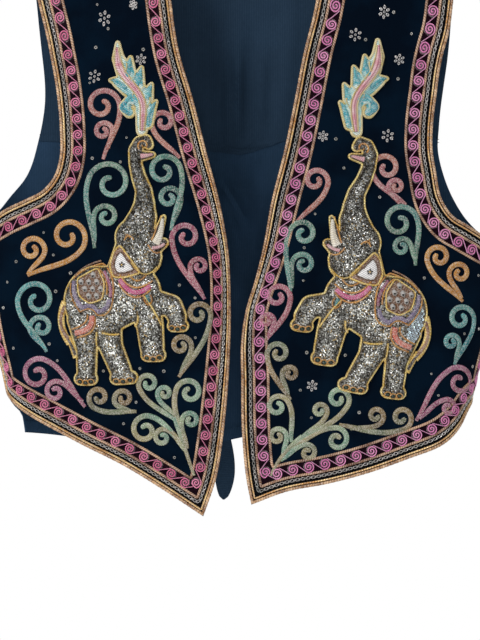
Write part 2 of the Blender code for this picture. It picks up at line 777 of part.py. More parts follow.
def make_front(side, collection):
    """One velvet front in one piece, its outer points raised over the padded motifs, its inside plain."""
    top, foot, inner, armhole, seam = front_outline(side)
    columns, arm_rows, seam_rows = 18, 20, 14
    shares = crowded(columns)
    outer = np.concatenate([spread(armhole, arm_rows), spread(seam, seam_rows + 1)[1:]])
    across = [spread(line, columns, shares) for line in (top, foot)]
    grid = patch(*across, spread(inner, len(outer)), outer, shares) * [side.sign, 1]
    outlines = [motif_outline(motif, side.sign) for motif in MOTIFS[side.name]]
    flat, faces = cut_panel(grid, outlines)
    raised = np.zeros(len(flat))
    for motif, outline in zip(MOTIFS[side.name], outlines):
        depth = np.where(inside(flat, outline), edge_distance(flat, outline), 0)
        swell = np.clip((depth - PAD_WALL) / PAD_REACH, 0, 1)
        wall = np.clip(depth / PAD_WALL, 0, 1)
        raised += PAD_EDGE * wall + (motif.pad - PAD_EDGE) * np.sqrt(1 - (1 - swell) ** 2)
    name = "front_" + side.name
    cloth_wall(name, flat, faces, raised, FRONT_THICKNESS, front_face(side), VELVET, collection)


def make_strap(name, centre, widths, sideways, collection):
    """A flat strap on the outside of the back, pulled straight over its folds."""
    reach = np.asarray(widths)[:, None] * np.array([-0.5, 0, 0.5])
    grid = np.asarray(centre)[:, None] + reach[:, :, None] * np.array(sideways)
    numbers = np.arange(3 * len(centre)).reshape(-1, 3)
    corners = [numbers[:-1, :-1], numbers[1:, :-1], numbers[1:, 1:], numbers[:-1, 1:]]
    faces = np.stack([corner.ravel() for corner in corners], axis=1).tolist()
    lift = LAID_ON + TIE_THICKNESS
    raised = np.full(3 * len(centre), lift)
    flat = grid.reshape(-1, 2)
    cloth_wall(name, flat, faces, raised, TIE_THICKNESS - lift, taut_back, LINING, collection)


def make_ties(collection):
    """Two straps from the side seams to a knot at the middle of the back, and their two hanging ends."""
    for side in SIDES:
        seam = float(seam_across(TIE_HEIGHT, 180 - side.seam.degrees, BACK_CROWN)) - 0.002
        start = -side.sign * seam
        stops = np.linspace(start, KNOT_ACROSS - side.sign * SEAM_GAP, 28)
        centre = np.stack([stops, np.full(len(stops), TIE_HEIGHT)], axis=1)
        make_strap("tie_" + side.name, centre, np.full(len(stops), TIE_WIDTH), (0, 1), collection)
    for name, route in TIE_ENDS.items():
        centre = through(route, 0.008)
        point = np.clip(np.linspace(1, 0, len(centre)) / TIE_POINT, 0, 1)
        widths = TIE_WIDTH * (0.16 + 0.84 * np.sqrt(1 - (1 - point) ** 2))
        make_strap("tie_end_" + name, centre, widths, (1, 0), collection)
    bpy.ops.mesh.primitive_uv_sphere_add(segments=16, ring_count=8, radius=0.5)
    knot = bpy.context.object
    knot.name = knot.data.name = "tie_knot"
    for vertex in knot.data.vertices:
        vertex.co = Vector(vertex.co[k] * KNOT_SIZE[k] for k in range(3))
    seat = taut_back(np.array([KNOT_ACROSS]), np.array([TIE_HEIGHT]))[0]
    knot.location = Vector(seat) + Vector((0, LAID_ON + TIE_THICKNESS + KNOT_SIZE[1] / 2 + SEAM_GAP, -0.004))
    knot.data.shade_smooth()
    knot.data.materials.append(cloth_material(LINING))
    for holder in list(knot.users_collection):
        holder.objects.unlink(knot)
    collection.objects.link(knot)


def main():
    empty_scene()
    garment = collection_for("waistcoat")
    for side in SIDES:
        make_front(side, garment)
        make_braid(side, garment)
    make_back(garment)
    make_ties(garment)


main()
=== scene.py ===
"""An open embroidered waistcoat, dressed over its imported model.

Two velvet fronts with a sewn border, couched scrolls, padded elephants and leaf plumes, a plain
lining-cloth back in two pieces, and back ties. Every piece is laid out flat and then draped. A flat
point is (across, up, out): across is measured along the cloth from the centre line, up is the height
in the garment, and out is the distance in front of the cloth's outer face. Metres, +Z up, the
wearer faces -Y, and the origin lies between the two neck points, where the shoulders hold it up.
"""

from collections import namedtuple

import bpy
import numpy as np
from bpy.props import FloatProperty, FloatVectorProperty, PointerProperty
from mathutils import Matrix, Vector
from mathutils.geometry import delaunay_2d_cdt


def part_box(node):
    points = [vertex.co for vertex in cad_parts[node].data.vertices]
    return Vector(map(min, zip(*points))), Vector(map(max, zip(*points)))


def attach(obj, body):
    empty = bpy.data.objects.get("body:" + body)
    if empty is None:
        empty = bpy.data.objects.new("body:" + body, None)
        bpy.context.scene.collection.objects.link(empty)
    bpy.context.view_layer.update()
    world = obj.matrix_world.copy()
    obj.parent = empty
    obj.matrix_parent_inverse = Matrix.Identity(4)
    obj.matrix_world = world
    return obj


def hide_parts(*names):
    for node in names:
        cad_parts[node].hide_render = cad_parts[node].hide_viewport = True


bl_info = {
    "name": "Embroidered waistcoat",
    "version": (1, 0, 0),
    "blender": (4, 5, 0),
    "location": "3D View > Sidebar > Waistcoat",
    "description": "Velvet fronts, lining-cloth back, sewn borders and padded embroidery of an open waistcoat",
    "category": "Object",
}

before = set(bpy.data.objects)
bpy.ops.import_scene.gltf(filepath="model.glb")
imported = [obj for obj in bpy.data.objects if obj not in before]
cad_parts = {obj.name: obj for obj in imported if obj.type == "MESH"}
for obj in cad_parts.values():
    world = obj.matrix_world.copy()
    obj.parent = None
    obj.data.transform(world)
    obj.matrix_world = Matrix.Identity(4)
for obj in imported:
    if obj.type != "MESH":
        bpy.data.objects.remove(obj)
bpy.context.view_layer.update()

# Cloth
FRONT_THICKNESS = 0.0020
BACK_THICKNESS = 0.0012
SEAM_GAP = 0.0003
LAID_ON = 0.0007

# Hollow form that the cloth hangs in: each level section is a shallow crown with round sides
FRONT_CROWN = 1.0
BACK_CROWN = 1.6
SIDE_RADIUS = 0.045
NECK_POINT = 0.087
SHOULDER_TIP = 0.205
SHOULDER_DROP = 0.045
FRONT_SHOULDER_DEPTH = 0.110
BACK_SHOULDER_DEPTH = 0.090
FRONT_SHOULDER_CLOTH = 0.140
BACK_SHOULDER_CLOTH = 0.1175

# Front edge, where the cloth rolls back towards the body
ROLL_WIDTH = 0.045

# A hook's curl: where the stem meets it, how far the stem bows and leans, in degrees, and its turns
CURL_ENTRY = 78
STEM_PULL = 0.42
STEM_LEAN = 16
CURL_TURNS = 1.22

# A rose spiral: its turns, its points and its tie's, and the sides of the pad below
ROSE_TURNS = 1.95
ROSE_POINTS = 34
ROSE_TIE_POINTS = 8
PAD_SIDES = 12

# Border threads, in metres, and how far they stand off the cloth or off the spirals' pads
Cord = namedtuple("Cord", "width height")
BROAD_CORD = Cord(0.0027, 0.0020)
BRIGHT_CORD = Cord(0.0017, 0.0016)
ROSE_THREAD = Cord(0.00118, 0.0014)
ROSE_TIE_WIDTH = 0.0009
OFF_CLOTH = 0.0001
ON_PAD = 0.0005

# Sequins: rows apart as a share of their size, scatter and bare rim in millimetres, and tilt
SEQUIN_SPACING = 0.82
SEQUIN_SCATTER = 0.16
SEQUIN_RIM = 1.7
SEQUIN_TILT = 0.13

# Beads on the velvet: a rosette's petals and eye, and the single ones' number and free room
PETAL_SIZE = (0.0036, 0.0026)
EYE_SIZE = 0.0024
SINGLE_BEADS = 46
BEADS_APART = 0.017
CLEAR_OF_THREAD = 0.006
CLEAR_OF_PADDING = 0.005

# Small stitches of the back: their size, their spacing, and the longest gap that still gets one
STITCH_SIZE = (0.0028, 0.0008)
STITCH_STEP = 0.0040
LONGEST_GAP = 0.006

# Distance between the points of a cloth's mesh and of its outline
FRONT_STEP = 0.0042
BACK_STEP = 0.0032
FRONT_RIM_STEP = 0.0025
BACK_RIM_STEP = 0.003

# Points handled at a time where every distance is worked out
BATCH = 3000

# Back ties
TIE_WIDTH = 0.021
TIE_THICKNESS = 0.0012
TIE_HEIGHT = -0.386
TIE_POINT = 0.16
KNOT_ACROSS = 0.012


def table(kind, values):
    """A table of one kind of row."""
    return [kind(*row) for row in values]


Girth = namedtuple("Girth", "height half_width")
GIRTHS = table(Girth, [
    (0.030, 0.221), (-0.100, 0.226), (-0.200, 0.233), (-0.300, 0.240), (-0.370, 0.238),
    (-0.410, 0.2310), (-0.434, 0.2250), (-0.457, 0.2200), (-0.475, 0.2150), (-0.510, 0.2100),
    (-0.580, 0.2060),
])

# A front's free edge: its distance from the centre line as worn, and how far it turns back there
Edge = namedtuple("Edge", "height across roll_degrees")
Point = namedtuple("Point", "across height")
Seam = namedtuple("Seam", "top foot degrees")
Side = namedtuple("Side", "name sign seam edge armhole back_armhole hem")

RIGHT_SIDE = Side(
    name="right",
    sign=-1,
    seam=Seam(top=-0.295, foot=-0.456, degrees=80),
    edge=table(Edge, [
        (0.030, 0.087, 0), (-0.092, 0.0645, 6), (-0.138, 0.0570, 12), (-0.184, 0.0437, 18),
        (-0.230, 0.0322, 26), (-0.276, 0.0204, 42), (-0.322, 0.0125, 56), (-0.368, 0.0103, 58),
        (-0.414, 0.0106, 44), (-0.460, 0.0130, 26), (-0.497, 0.0167, 16), (-0.534, 0.0230, 12),
        (-0.568, 0.0345, 10),
    ]),
    armhole=table(Point, [
        (0.1900, -0.0975), (0.1785, -0.137), (0.1705, -0.181), (0.1680, -0.210), (0.1685, -0.237),
        (0.1730, -0.252), (0.1845, -0.266), (0.2015, -0.2745), (0.2217, -0.283), (0.2350, -0.289),
    ]),
    back_armhole=table(Point, [
        (0.1965, -0.100), (0.1910, -0.183), (0.1960, -0.210), (0.2100, -0.250), (0.2240, -0.266),
        (0.2380, -0.280),
    ]),
    hem=table(Point, [
        (0.0715, -0.5433), (0.1096, -0.5205), (0.1470, -0.5023), (0.1873, -0.4815),
    ]),
)
LEFT_SIDE = Side(
    name="left",
    sign=1,
    seam=Seam(top=-0.321, foot=-0.462, degrees=98),
    edge=table(Edge, [
        (0.030, 0.087, 0), (-0.092, 0.0704, 4), (-0.138, 0.0587, 6), (-0.184, 0.0497, 8),
        (-0.230, 0.0404, 14), (-0.276, 0.0291, 26), (-0.322, 0.0212, 50), (-0.350, 0.0145, 64),
        (-0.378, 0.0060, 60), (-0.405, 0.0014, 36), (-0.440, 0.0008, 16), (-0.497, 0.0018, 8),
        (-0.534, 0.0055, 6), (-0.557, 0.0100, 6),
    ]),
    armhole=table(Point, [
        (0.1995, -0.100), (0.1950, -0.1247), (0.1880, -0.1448), (0.1828, -0.177), (0.1790, -0.210),
        (0.1788, -0.228), (0.1818, -0.247), (0.1888, -0.2764), (0.1990, -0.290), (0.2109, -0.297),
        (0.2320, -0.3077),
    ]),
    back_armhole=table(Point, [
        (0.2050, -0.100), (0.1930, -0.200), (0.1920, -0.220), (0.1970, -0.244), (0.2070, -0.269),
        (0.2200, -0.289), (0.2380, -0.305),
    ]),
    hem=table(Point, [
        (0.0420, -0.545), (0.0795, -0.538), (0.1171, -0.5285), (0.1555, -0.5155), (0.1930, -0.501),
        (0.2152, -0.4844), (0.2290, -0.4700),
    ]),
)
SIDES = (RIGHT_SIDE, LEFT_SIDE)

# The hanging ends of the ties, from under the straps to their tips
TIE_ENDS = {
    "right": [
        Point(0.0235, TIE_HEIGHT - TIE_WIDTH / 2 - SEAM_GAP),
        Point(0.0230, -0.440),
        Point(0.0205, -0.490),
        Point(0.0155, -0.535),
        Point(0.0165, -0.5615),
    ],
    "left": [
        Point(-0.0015, TIE_HEIGHT - TIE_WIDTH / 2 - SEAM_GAP),
        Point(-0.0090, -0.440),
        Point(-0.0160, -0.490),
        Point(-0.0215, -0.525),
        Point(-0.0235, -0.550),
    ],
}

# Back: the neck's dip, the cross seam, the hem, and how far the side edges turn in below the side seams
BACK_NECK_DIP = 0.030
CROSS_SEAM = table(Point, [
    (-0.200, -0.208), (-0.036, -0.213), (0.000, -0.2245), (0.032, -0.220), (0.200, -0.212),
])
BACK_HEM = table(Point, [
    (-0.220, -0.492), (0.000, -0.501), (0.018, -0.505), (0.220, -0.494),
])
VENT_INSET = 0.029
VENT_REACH = 0.022

# Soft folds in the back, from one end to the other; depth is how far the cloth drops towards the wearer
Fold = namedtuple("Fold", "top_across top_height foot_across foot_height depth width")
BACK_FOLDS = table(Fold, [
    (0.028, -0.232, -0.016, -0.320, 0.006, 0.011), (0.016, -0.330, -0.004, -0.372, 0.005, 0.009),
    (0.002, -0.080, 0.004, -0.205, 0.005, 0.010), (0.013, -0.226, 0.012, -0.258, 0.003, 0.006),
    (-0.003, -0.228, -0.002, -0.262, 0.003, 0.006), (-0.120, -0.230, -0.100, -0.480, 0.005, 0.026),
    (0.118, -0.250, 0.108, -0.490, 0.005, 0.026), (-0.050, -0.400, -0.046, -0.505, 0.004, 0.018),
    (0.058, -0.395, 0.052, -0.505, 0.004, 0.018),
])
# Gathers and wrinkles that hang from the cross seam and run down the back
FINE_FOLDS = table(Fold, [
    (0.0065, -0.222, 0.0080, -0.246, 0.0022, 0.0026), (0.0190, -0.222, 0.0175, -0.244, 0.0020, 0.0026),
    (-0.0085, -0.220, -0.0070, -0.242, 0.0022, 0.0026),
    (0.0130, -0.224, 0.0125, -0.240, 0.0016, 0.0020),
    (-0.0160, -0.222, -0.0150, -0.238, 0.0016, 0.0024),
    (0.0040, -0.365, 0.0300, -0.440, 0.0035, 0.0075),
    (-0.0060, -0.362, -0.0200, -0.470, 0.0040, 0.0070),
    (0.0290, -0.234, -0.0090, -0.298, 0.0085, 0.0042),
    (0.0190, -0.262, -0.0020, -0.325, 0.0064, 0.0040), (0.0300, -0.262, 0.0120, -0.300, 0.0040, 0.0040),
    (0.0300, -0.300, 0.0120, -0.352, 0.0030, 0.0055),
    (-0.0260, -0.250, -0.0080, -0.340, 0.0030, 0.0055),
    (0.0022, -0.120, 0.0030, -0.216, 0.0062, 0.0044), (0.0125, -0.150, 0.0115, -0.220, 0.0046, 0.0034),
    (0.0420, -0.2215, -0.0400, -0.2135, 0.0022, 0.0016),
    (-0.0220, -0.120, -0.0180, -0.210, 0.0030, 0.0060),
    (0.0300, -0.110, 0.0330, -0.210, 0.0030, 0.0062), (0.0500, -0.060, 0.0440, -0.190, 0.0030, 0.0100),
    (-0.0520, -0.060, -0.0400, -0.200, 0.0030, 0.0100),
    (-0.170, -0.300, -0.150, -0.480, 0.0040, 0.0160), (0.170, -0.310, 0.155, -0.480, 0.0040, 0.0160),
    (0.080, -0.240, 0.075, -0.400, 0.0035, 0.0130), (-0.080, -0.240, -0.070, -0.400, 0.0035, 0.0130),
    (0.125, -0.060, 0.130, -0.230, 0.0035, 0.0150), (-0.125, -0.060, -0.130, -0.230, 0.0035, 0.0150),
    (0.205, -0.320, 0.150, -0.350, 0.0025, 0.0070), (-0.205, -0.320, -0.150, -0.350, 0.0025, 0.0070),
])

FRONT_FOLDS = {
    "right": [
        Fold(0.205, -0.300, 0.190, -0.470, 0.004, 0.020),
        Fold(0.120, -0.060, 0.135, -0.170, 0.003, 0.022),
    ],
    "left": [
        Fold(0.090, -0.330, 0.060, -0.420, 0.003, 0.020),
        Fold(0.150, -0.060, 0.150, -0.170, 0.003, 0.022),
        Fold(0.215, -0.320, 0.210, -0.450, 0.004, 0.018),
    ],
}

# Padded motifs, each a group of tapered limbs in millimetres; along runs towards the garment's centre line
Limb = namedtuple("Limb", "along up radius to_along to_up to_radius")
ELEPHANT = table(Limb, [
    (-24, 8, 33, 8, 16, 25), (2, 22, 23, 10, 56, 19), (8, 67, 17, 12, 54, 19), (20, 48, 14, 20, 46, 13),
    (10, 68, 17, 16.5, 86, 12.5), (16.5, 86, 12.5, 18, 98, 9.2), (18, 98, 9.2, 17.5, 110, 7.2),
    (17.5, 110, 7.2, 12.5, 123, 6.2), (12.5, 123, 6.2, 9.7, 135, 5.6), (9.7, 135, 5.6, 9.7, 147, 6),
    (9.7, 147, 6, 13.5, 154.5, 5.4), (13.5, 154.5, 5.4, 19.5, 156.5, 4.8),
    (19.5, 156.5, 4.8, 22, 152, 4), (14, 142, 4.5, 26, 143, 2.2), (27, 58, 8, 36, 62, 4),
    (28, 64, 5, 36, 86, 1.6), (17, 8, 15, 23, -14, 12), (23, -14, 12, 25, -34, 10.8),
    (20.5, -41.5, 5.5, 32, -41.5, 5.5), (22, 8, 12, 43, 4, 9.5), (43, 4, 9.5, 48, -6, 8.5),
    (44.5, -14.5, 5, 53.5, -14.5, 5), (-36, -10, 18, -36, -36, 9.5), (-36, -36, 9.5, -36, -56, 8.8),
    (-42, -63.5, 5.5, -31.5, -63.5, 5.5), (-20, -12, 17, -13, -34, 10.5),
    (-13, -34, 10.5, -4, -56, 9.6), (-8.5, -63, 5.5, 6, -62, 5.5),
])
PLUME = table(Limb, [
    (-1, 1, 4.4, 0, 16, 6), (0, 16, 6, 0, 30, 8), (0, 30, 8, -8, 42, 8.5), (-8, 42, 8.5, -17, 56, 7.5),
    (-17, 56, 7.5, -23, 68, 5), (-23, 68, 5, -23.5, 83, 1.2), (5, 7, 4, 7, 20, 4.5),
    (7, 20, 4.5, 12.5, 28.5, 1), (3, 32, 6.5, 8.2, 44.5, 1), (-5, 46, 6.5, -1, 60, 1),
    (-13, 56, 6, -11.3, 69.5, 1), (-20, 47, 5, -31, 48, 0.9), (-14, 38, 5, -24, 46, 4),
    (-3, 27, 5, -12, 29, 4.6), (-12, 29, 4.6, -16.5, 23, 4.8), (-16.5, 23, 4.8, -12.5, 18, 4.6),
])
Motif = namedtuple("Motif", "limbs pad across height turn_degrees wide tall")
MOTIFS = {
    "right": [
        Motif(ELEPHANT, 0.0050, 0.1065, -0.3772, 0, 1.00, 1.00),
        Motif(PLUME, 0.0030, 0.0900, -0.2130, 0, 1.00, 1.00),
    ],
    "left": [
        Motif(ELEPHANT, 0.0050, 0.1108, -0.3838, 7.5, 1.08, 1.02),
        Motif(PLUME, 0.0030, 0.1060, -0.2140, -2.5, 1.05, 1.03),
    ],
}

# Couched scrolls, in millimetres as seen from the front: each springs from its foot and curls round its
# eye, clockwise (-1) or anticlockwise (1)
Hook = namedtuple("Hook", "thread foot_across foot_height eye_across eye_height reach hand")
SCROLLS = {
    "right": table(Hook, [
        ("salmon", -127, -238, -128, -188, 16.2, 1), ("salmon", -122, -228, -127, -212, 8.8, 1),
        ("sea_green", -135, -320, -120, -260, 20.4, -1),
        ("sea_green", -135, -315, -124, -291, 11.1, -1), ("gold", -198, -345, -160, -309, 17.8, 1),
        ("gold", -198, -344, -194, -321, 12.6, 1), ("teal", -180, -416, -189, -368, 18.7, -1),
        ("teal", -181, -414, -185, -393, 11.2, -1), ("mauve", -144, -467, -189, -437, 15.4, 1),
        ("mauve", -146, -462, -172, -453, 9.8, 1), ("brown", -96, -471, -131, -458, 10.6, -1),
        ("brown", -100, -472, -108, -459, 9.2, -1), ("pale_green", -52, -502, -88, -488, 13.4, 1),
        ("pale_green", -50, -508, -72, -495, 8.3, 1), ("pale_green", -60, -479, -85, -445, 9.7, -1),
        ("pale_green", -61, -474, -70, -454, 6.9, -1), ("pale_green", -53, -499, -47, -453, 12.5, -1),
        ("pale_green", -49, -505, -46, -479, 7.9, -1), ("salmon", -56, -237, -71, -204, 11.1, -1),
        ("sea_green", -64, -304, -71, -249, 15.7, 1), ("sea_green", -63, -300, -66, -274, 10.6, 1),
        ("rose", -33, -367, -50, -310, 13.4, -1), ("rose", -34, -365, -38, -337, 8.3, -1),
        ("brown", -57, -439, -39, -381, 11.6, 1), ("brown", -55, -435, -55, -410, 9.7, 1),
    ]),
    "left": table(Hook, [
        ("salmon", 52, -296, 69, -258, 12.0, 1), ("salmon", 153, -280, 135, -246, 14.0, -1),
        ("salmon", 147, -279, 144, -263, 7.4, -1), ("sea_green", 46, -360, 58, -307, 12.5, -1),
        ("sea_green", 47, -357, 58, -335, 10.2, -1), ("sea_green", 162, -336, 147, -296, 16.4, 1),
        ("sea_green", 162, -332, 149, -319, 8.4, 1), ("rose", 22, -407, 34, -365, 12.0, 1),
        ("rose", 25, -403, 24, -387, 6.9, 1), ("gold", 207, -369, 184, -328, 11.7, -1),
        ("gold", 206, -366, 204, -343, 10.3, -1), ("teal", 199, -428, 205, -385, 13.1, 1),
        ("teal", 200, -425, 196, -407, 7.5, 1), ("mauve", 163, -480, 204, -444, 14.5, -1),
        ("mauve", 166, -478, 193, -468, 7.9, -1), ("brown", 46, -460, 35, -417, 10.6, -1),
        ("brown", 44, -455, 46, -436, 7.4, -1), ("pale_green", 47, -499, 34, -466, 10.6, 1),
        ("pale_green", 39, -512, 34, -494, 8.3, 1), ("pale_green", 57, -494, 73, -470, 7.4, 1),
        ("pale_green", 55, -496, 90, -459, 11.1, 1), ("pale_green", 47, -504, 89, -497, 11.1, -1),
        ("pale_green", 37, -516, 62, -509, 7.9, -1), ("brown", 91, -483, 149, -477, 11.1, 1),
        ("brown", 101, -487, 125, -475, 8.3, 1),
    ]),
}

# Stems that the pale sprays spring from, foot to fork
Stem = namedtuple("Stem", "thread across height mid_across mid_height to_across to_height")
STEMS = {
    "right": [Stem("pale_green", -43, -530, -52, -503, -61, -476)],
    "left": [Stem("pale_green", 28, -530, 40, -510, 57, -494)],
}

# Bead rosettes, in millimetres as seen from the front
Spot = namedtuple("Spot", "across height size")
ROSETTES = {
    "right": table(Spot, [
        (-126, -107, 4.4), (-135, -161, 4.4), (-92, -146, 3.6), (-99, -95, 2.4),
    ]),
    "left": table(Spot, [
        (133, -101, 3.8), (106, -123, 4.4), (147, -145, 3.6), (136, -216, 4.4), (76, -217, 3.4),
        (66, -447, 3.6),
    ]),
}

# Distances of the border's rows from the cloth's edge, in millimetres
Row = namedtuple(
    "Row", "broad_cord bright_cord ground chain outer_line band_outer roses band_inner inner_line"
)
BORDERS = {
    "right": Row(1.4, 4.0, 5.0, 7.9, 11.2, 12.0, 17.0, 22.0, 22.8),
    "left": Row(1.4, 4.2, 5.3, 8.6, 12.2, 13.2, 18.7, 24.2, 25.2),
}

# Details of the elephant, in its own millimetres: along runs forwards, up from the middle of its belly
Stroke = namedtuple("Stroke", "part along up mid_along mid_up to_along to_up width to_width")
ELEPHANT_STROKES = table(Stroke, [
    ("gold", -4, 33, 9, 21, 26, 27, 1.8, 1.8), ("pink", -4, 28.5, 9, 16.5, 24, 22.5, 4.6, 4.6),
    ("gold", -5, 24.5, 9, 12, 24.5, 19, 1.8, 1.8), ("gold", 4, 33, 12, 27, 20, 32, 1.6, 1.6),
    ("teal", 21, 14, 22, 10, 22.5, 7, 3.6, 2.0), ("gold", 18.5, 14.5, 18.5, 9, 22.5, 4.5, 1.4, 1.4),
    ("gold", 24, 14, 25.5, 9, 22.5, 4.5, 1.4, 1.4), ("cream", 28.5, 61, 32.5, 70, 35.2, 84, 8.5, 2.6),
    ("blush", 26, 57, 32, 58, 37, 61, 3.4, 2.4), ("gold", 22, 60, 30, 52.5, 39, 61, 1.6, 1.6),
    ("gold", 25, 64, 29, 74, 33.5, 87, 1.8, 1.4), ("blush", 15, 141.5, 20, 142, 26, 143, 4.8, 2.0),
    ("pink", 16, 142.5, 20, 143, 24, 143.5, 1.4, 1.0), ("lilac", -47, 27, -46, 14, -39, 2, 3.8, 4.2),
    ("lilac", -39, 1, -31, 4, -25, -1.5, 4.4, 4.4), ("lilac", -25, -1.5, -17, 2, -14, 10, 4.4, 4.2),
    ("mauve", -13, 12, -13, 22, -19, 36, 3.2, 3.0), ("gold", -48, 29, -36, 38, -21, 43, 1.8, 1.8),
    ("bronze", -47, 31.5, -36, 40.5, -22, 45.5, 1.6, 1.6),
    ("gold", -21, 43, -12, 32, -10, 15, 1.8, 1.8), ("gold", -24, 38, -17, 28, -16, 14, 1.6, 1.6),
    ("gold", -50, 25, -49, 12, -41, -1.5, 1.5, 1.5), ("gold", -41, -1.5, -31, 1, -25, -4.5, 1.5, 1.5),
    ("gold", -25, -4.5, -14, -1, -10, 15, 1.5, 1.5), ("coral", -30, -5, -33, -16, -46, -21, 5.4, 5.0),
    ("gold", -34, -4, -37, -12, -49, -17.5, 1.6, 1.6), ("gold", -27, -6, -30, -19, -44, -25, 1.6, 1.6),
    ("seam", -56.5, 8, -60, -12, -52, -31, 6.4, 6.6),
    ("bronze", -56.5, 4, -60, -12, -53, -27, 3.6, 4.0),
    ("seam", -54, -25, -50, -33, -46, -44, 5.6, 6.4),
    ("tuft", -53.5, -27, -50, -33, -46.5, -41.5, 3.0, 4.0),
    ("seam", -21, -21, -12, -22.5, -5, -22, 2.0, 2.0), ("seam", 9, -15, 11.5, -12, 12.5, -5, 2.2, 2.0),
    ("seam", 17, 14, 25, 3, 34, -14, 2.0, 2.0), ("seam", -26, -20, -26.5, -30, -25.5, -37, 1.8, 1.8),
    ("seam", 6, 44, 18, 33, 30, 40, 1.6, 1.6), ("gold", 1, 66, 3, 69.5, 5.5, 66, 1.0, 1.0),
])
EAR = [(-4, 60), (5, 48), (15, 34), (1, 30), (-10, 30), (-14, 41), (-10, 54)]
SADDLE = [(-44, 29), (-25, 39), (-18, 25), (-20, 10), (-32, 6), (-42, 13)]
# The leaf of ring sequins on the rump, which only the elephant on the wearer's left has
HIPS = {
    "right": [],
    "left": [(-45, 20), (-49, 24), (-54, 14), (-55, 0), (-52, -13), (-46, -18), (-40, -10), (-42, 4)],
}
Nail = namedtuple("Nail", "along up")
TOENAILS = table(Nail, [
    (43.5, -16.5), (48.8, -17.4), (54, -16.2), (20.5, -44), (26.3, -45), (32, -43.6), (-41.8, -66),
    (-36.7, -67), (-31.6, -66), (-8, -65.5), (-1.6, -65.8), (4.8, -64.5),
])

# Coloured strokes of the plume, in its own millimetres from its foot
MIDRIB = [(-0.5, 1), (0.6, 15), (1, 27), (-5, 38), (-14.5, 48), (-21.5, 58), (-23.5, 68), (-23.6, 78)]
PLUME_STROKES = table(Stroke, [
    ("plume_teal", -15, 51, -12.5, 57, -11.4, 66, 5.0, 1.6),
    ("aqua", -10.5, 47, -8, 51, -7.5, 57, 3.6, 1.4), ("plume_teal", -6, 43, -3, 49, -1.4, 57, 5.2, 1.6),
    ("aqua", -2, 38, 1, 41, 1.5, 46, 3.2, 1.4), ("plume_teal", 3.5, 30, 6, 36, 7.8, 42, 4.6, 1.6),
    ("aqua", 5.5, 24, 7, 27, 8, 31, 2.8, 1.4), ("plume_teal", 5, 6, 6.5, 17, 11.3, 26.5, 3.4, 1.8),
    ("plume_teal", -15.5, 40, -21, 45, -28.5, 47.8, 4.2, 1.6),
    ("aqua", -20, 50, -22.5, 52, -24.5, 52, 2.8, 1.4),
    ("plume_teal", -3.5, 28.5, -10, 33, -15.5, 27.5, 4.0, 3.8),
    ("plume_teal", -15.5, 27.5, -19.5, 22, -13.5, 17, 3.8, 3.0),
    ("aqua", -8, 26, -13, 26, -13, 21, 3.0, 2.0), ("aqua", -4.6, 5, -5.4, 14, -5, 22, 2.6, 2.2),
    ("pale_gold", -15, 63.5, -15, 58, -18, 54, 1.8, 1.3),
    ("pale_gold", -7.5, 55.5, -8, 51, -12.5, 46.5, 1.8, 1.3),
    ("pale_gold", 0.5, 44.5, 0.5, 41, -4.5, 37, 1.8, 1.3),
    ("pale_gold", 6.5, 31.5, 6.5, 27, 3, 21, 1.8, 1.3),
    ("pale_gold", -24, 53, -21, 51.5, -18.5, 52, 1.8, 1.3),
    ("pale_gold", -6, 31.5, -9, 32.5, -8, 37, 1.6, 1.2),
    ("pale_gold", -8, 17, -7.5, 23, -10.5, 25.5, 1.6, 1.2),
])

# Sequin colours and the share of each; the white ones are painted glints
Shade = namedtuple("Shade", "colour share")
SEQUIN_SHADES_AND_GLINTS = table(Shade, [
    ("#FFFFFF", 0.07), ("#B9BAB4", 0.23), ("#84847E", 0.23), ("#52504A", 0.23), ("#272624", 0.17),
    ("#947E56", 0.07),
])

# Space-dyed threads drift into a partner's colour
PARTNERS = {
    "pale_green": "gold",
    "sea_green": "teal",
    "teal": "sea_green",
    "mauve": "rose",
    "rose": "mauve",
    "salmon": "mauve",
    "brown": "pale_green",
    "gold": "gold",
}

DYE_REPEAT = 0.09

# The two fronts' rose threads differ a little
ROSE_DYES = {"right": "rose_pink", "left": "orchid"}

# Thread colours, as sRGB: the body of the thread, and the lighter one that it is flecked with, which also serves
# as its painted shine
Dye = namedtuple("Dye", "body fleck")
DYES = {
    "salmon": Dye("#A05A4E", "#E0A594"),
    "sea_green": Dye("#2C5C52", "#98C4A8"),
    "gold": Dye("#B4742A", "#EAB868"),
    "teal": Dye("#2A808A", "#84D0CC"),
    "mauve": Dye("#8A4468", "#D090B0"),
    "rose": Dye("#8E3A50", "#D08896"),
    "brown": Dye("#6E5A3C", "#B59C6C"),
    "pale_green": Dye("#5F9484", "#C0DCB8"),
    "cream": Dye("#F2EAD2", "#FFFFF4"),
    "pink": Dye("#D2588F", "#F09CC0"),
    "rose_pink": Dye("#D24880", "#FF94C0"),
    "orchid": Dye("#DE66B0", "#FFA8DC"),
    "blush": Dye("#E299A6", "#FDE2E4"),
    "lilac": Dye("#746A8C", "#B4AAC4"),
    "coral": Dye("#CF6A58", "#F0A393"),
    "aqua": Dye("#AEE2DA", "#EAFBF6"),
    "plume_teal": Dye("#2A9DB0", "#86DEE2"),
    "tuft": Dye("#241C18", "#5A4A3C"),
    "bronze": Dye("#7C5440", "#DDB492"),
    "silver": Dye("#A8AFAC", "#F2F6F3"),
    "pearl": Dye("#DDE3E6", "#FFFFFF"),
    "pale_gold": Dye("#E2CC78", "#FFF6C4"),
    "umber": Dye("#4A3020", "#7C5638"),
    "navy_thread": Dye("#1A2A3C", "#2E4660"),
    "seam": Dye("#D0A848", "#FFEC9C"),
    "edge_gold": Dye("#C08440", "#FFDD9C"),
    "edge_tan": Dye("#8A5F3C", "#DDB58A"),
}


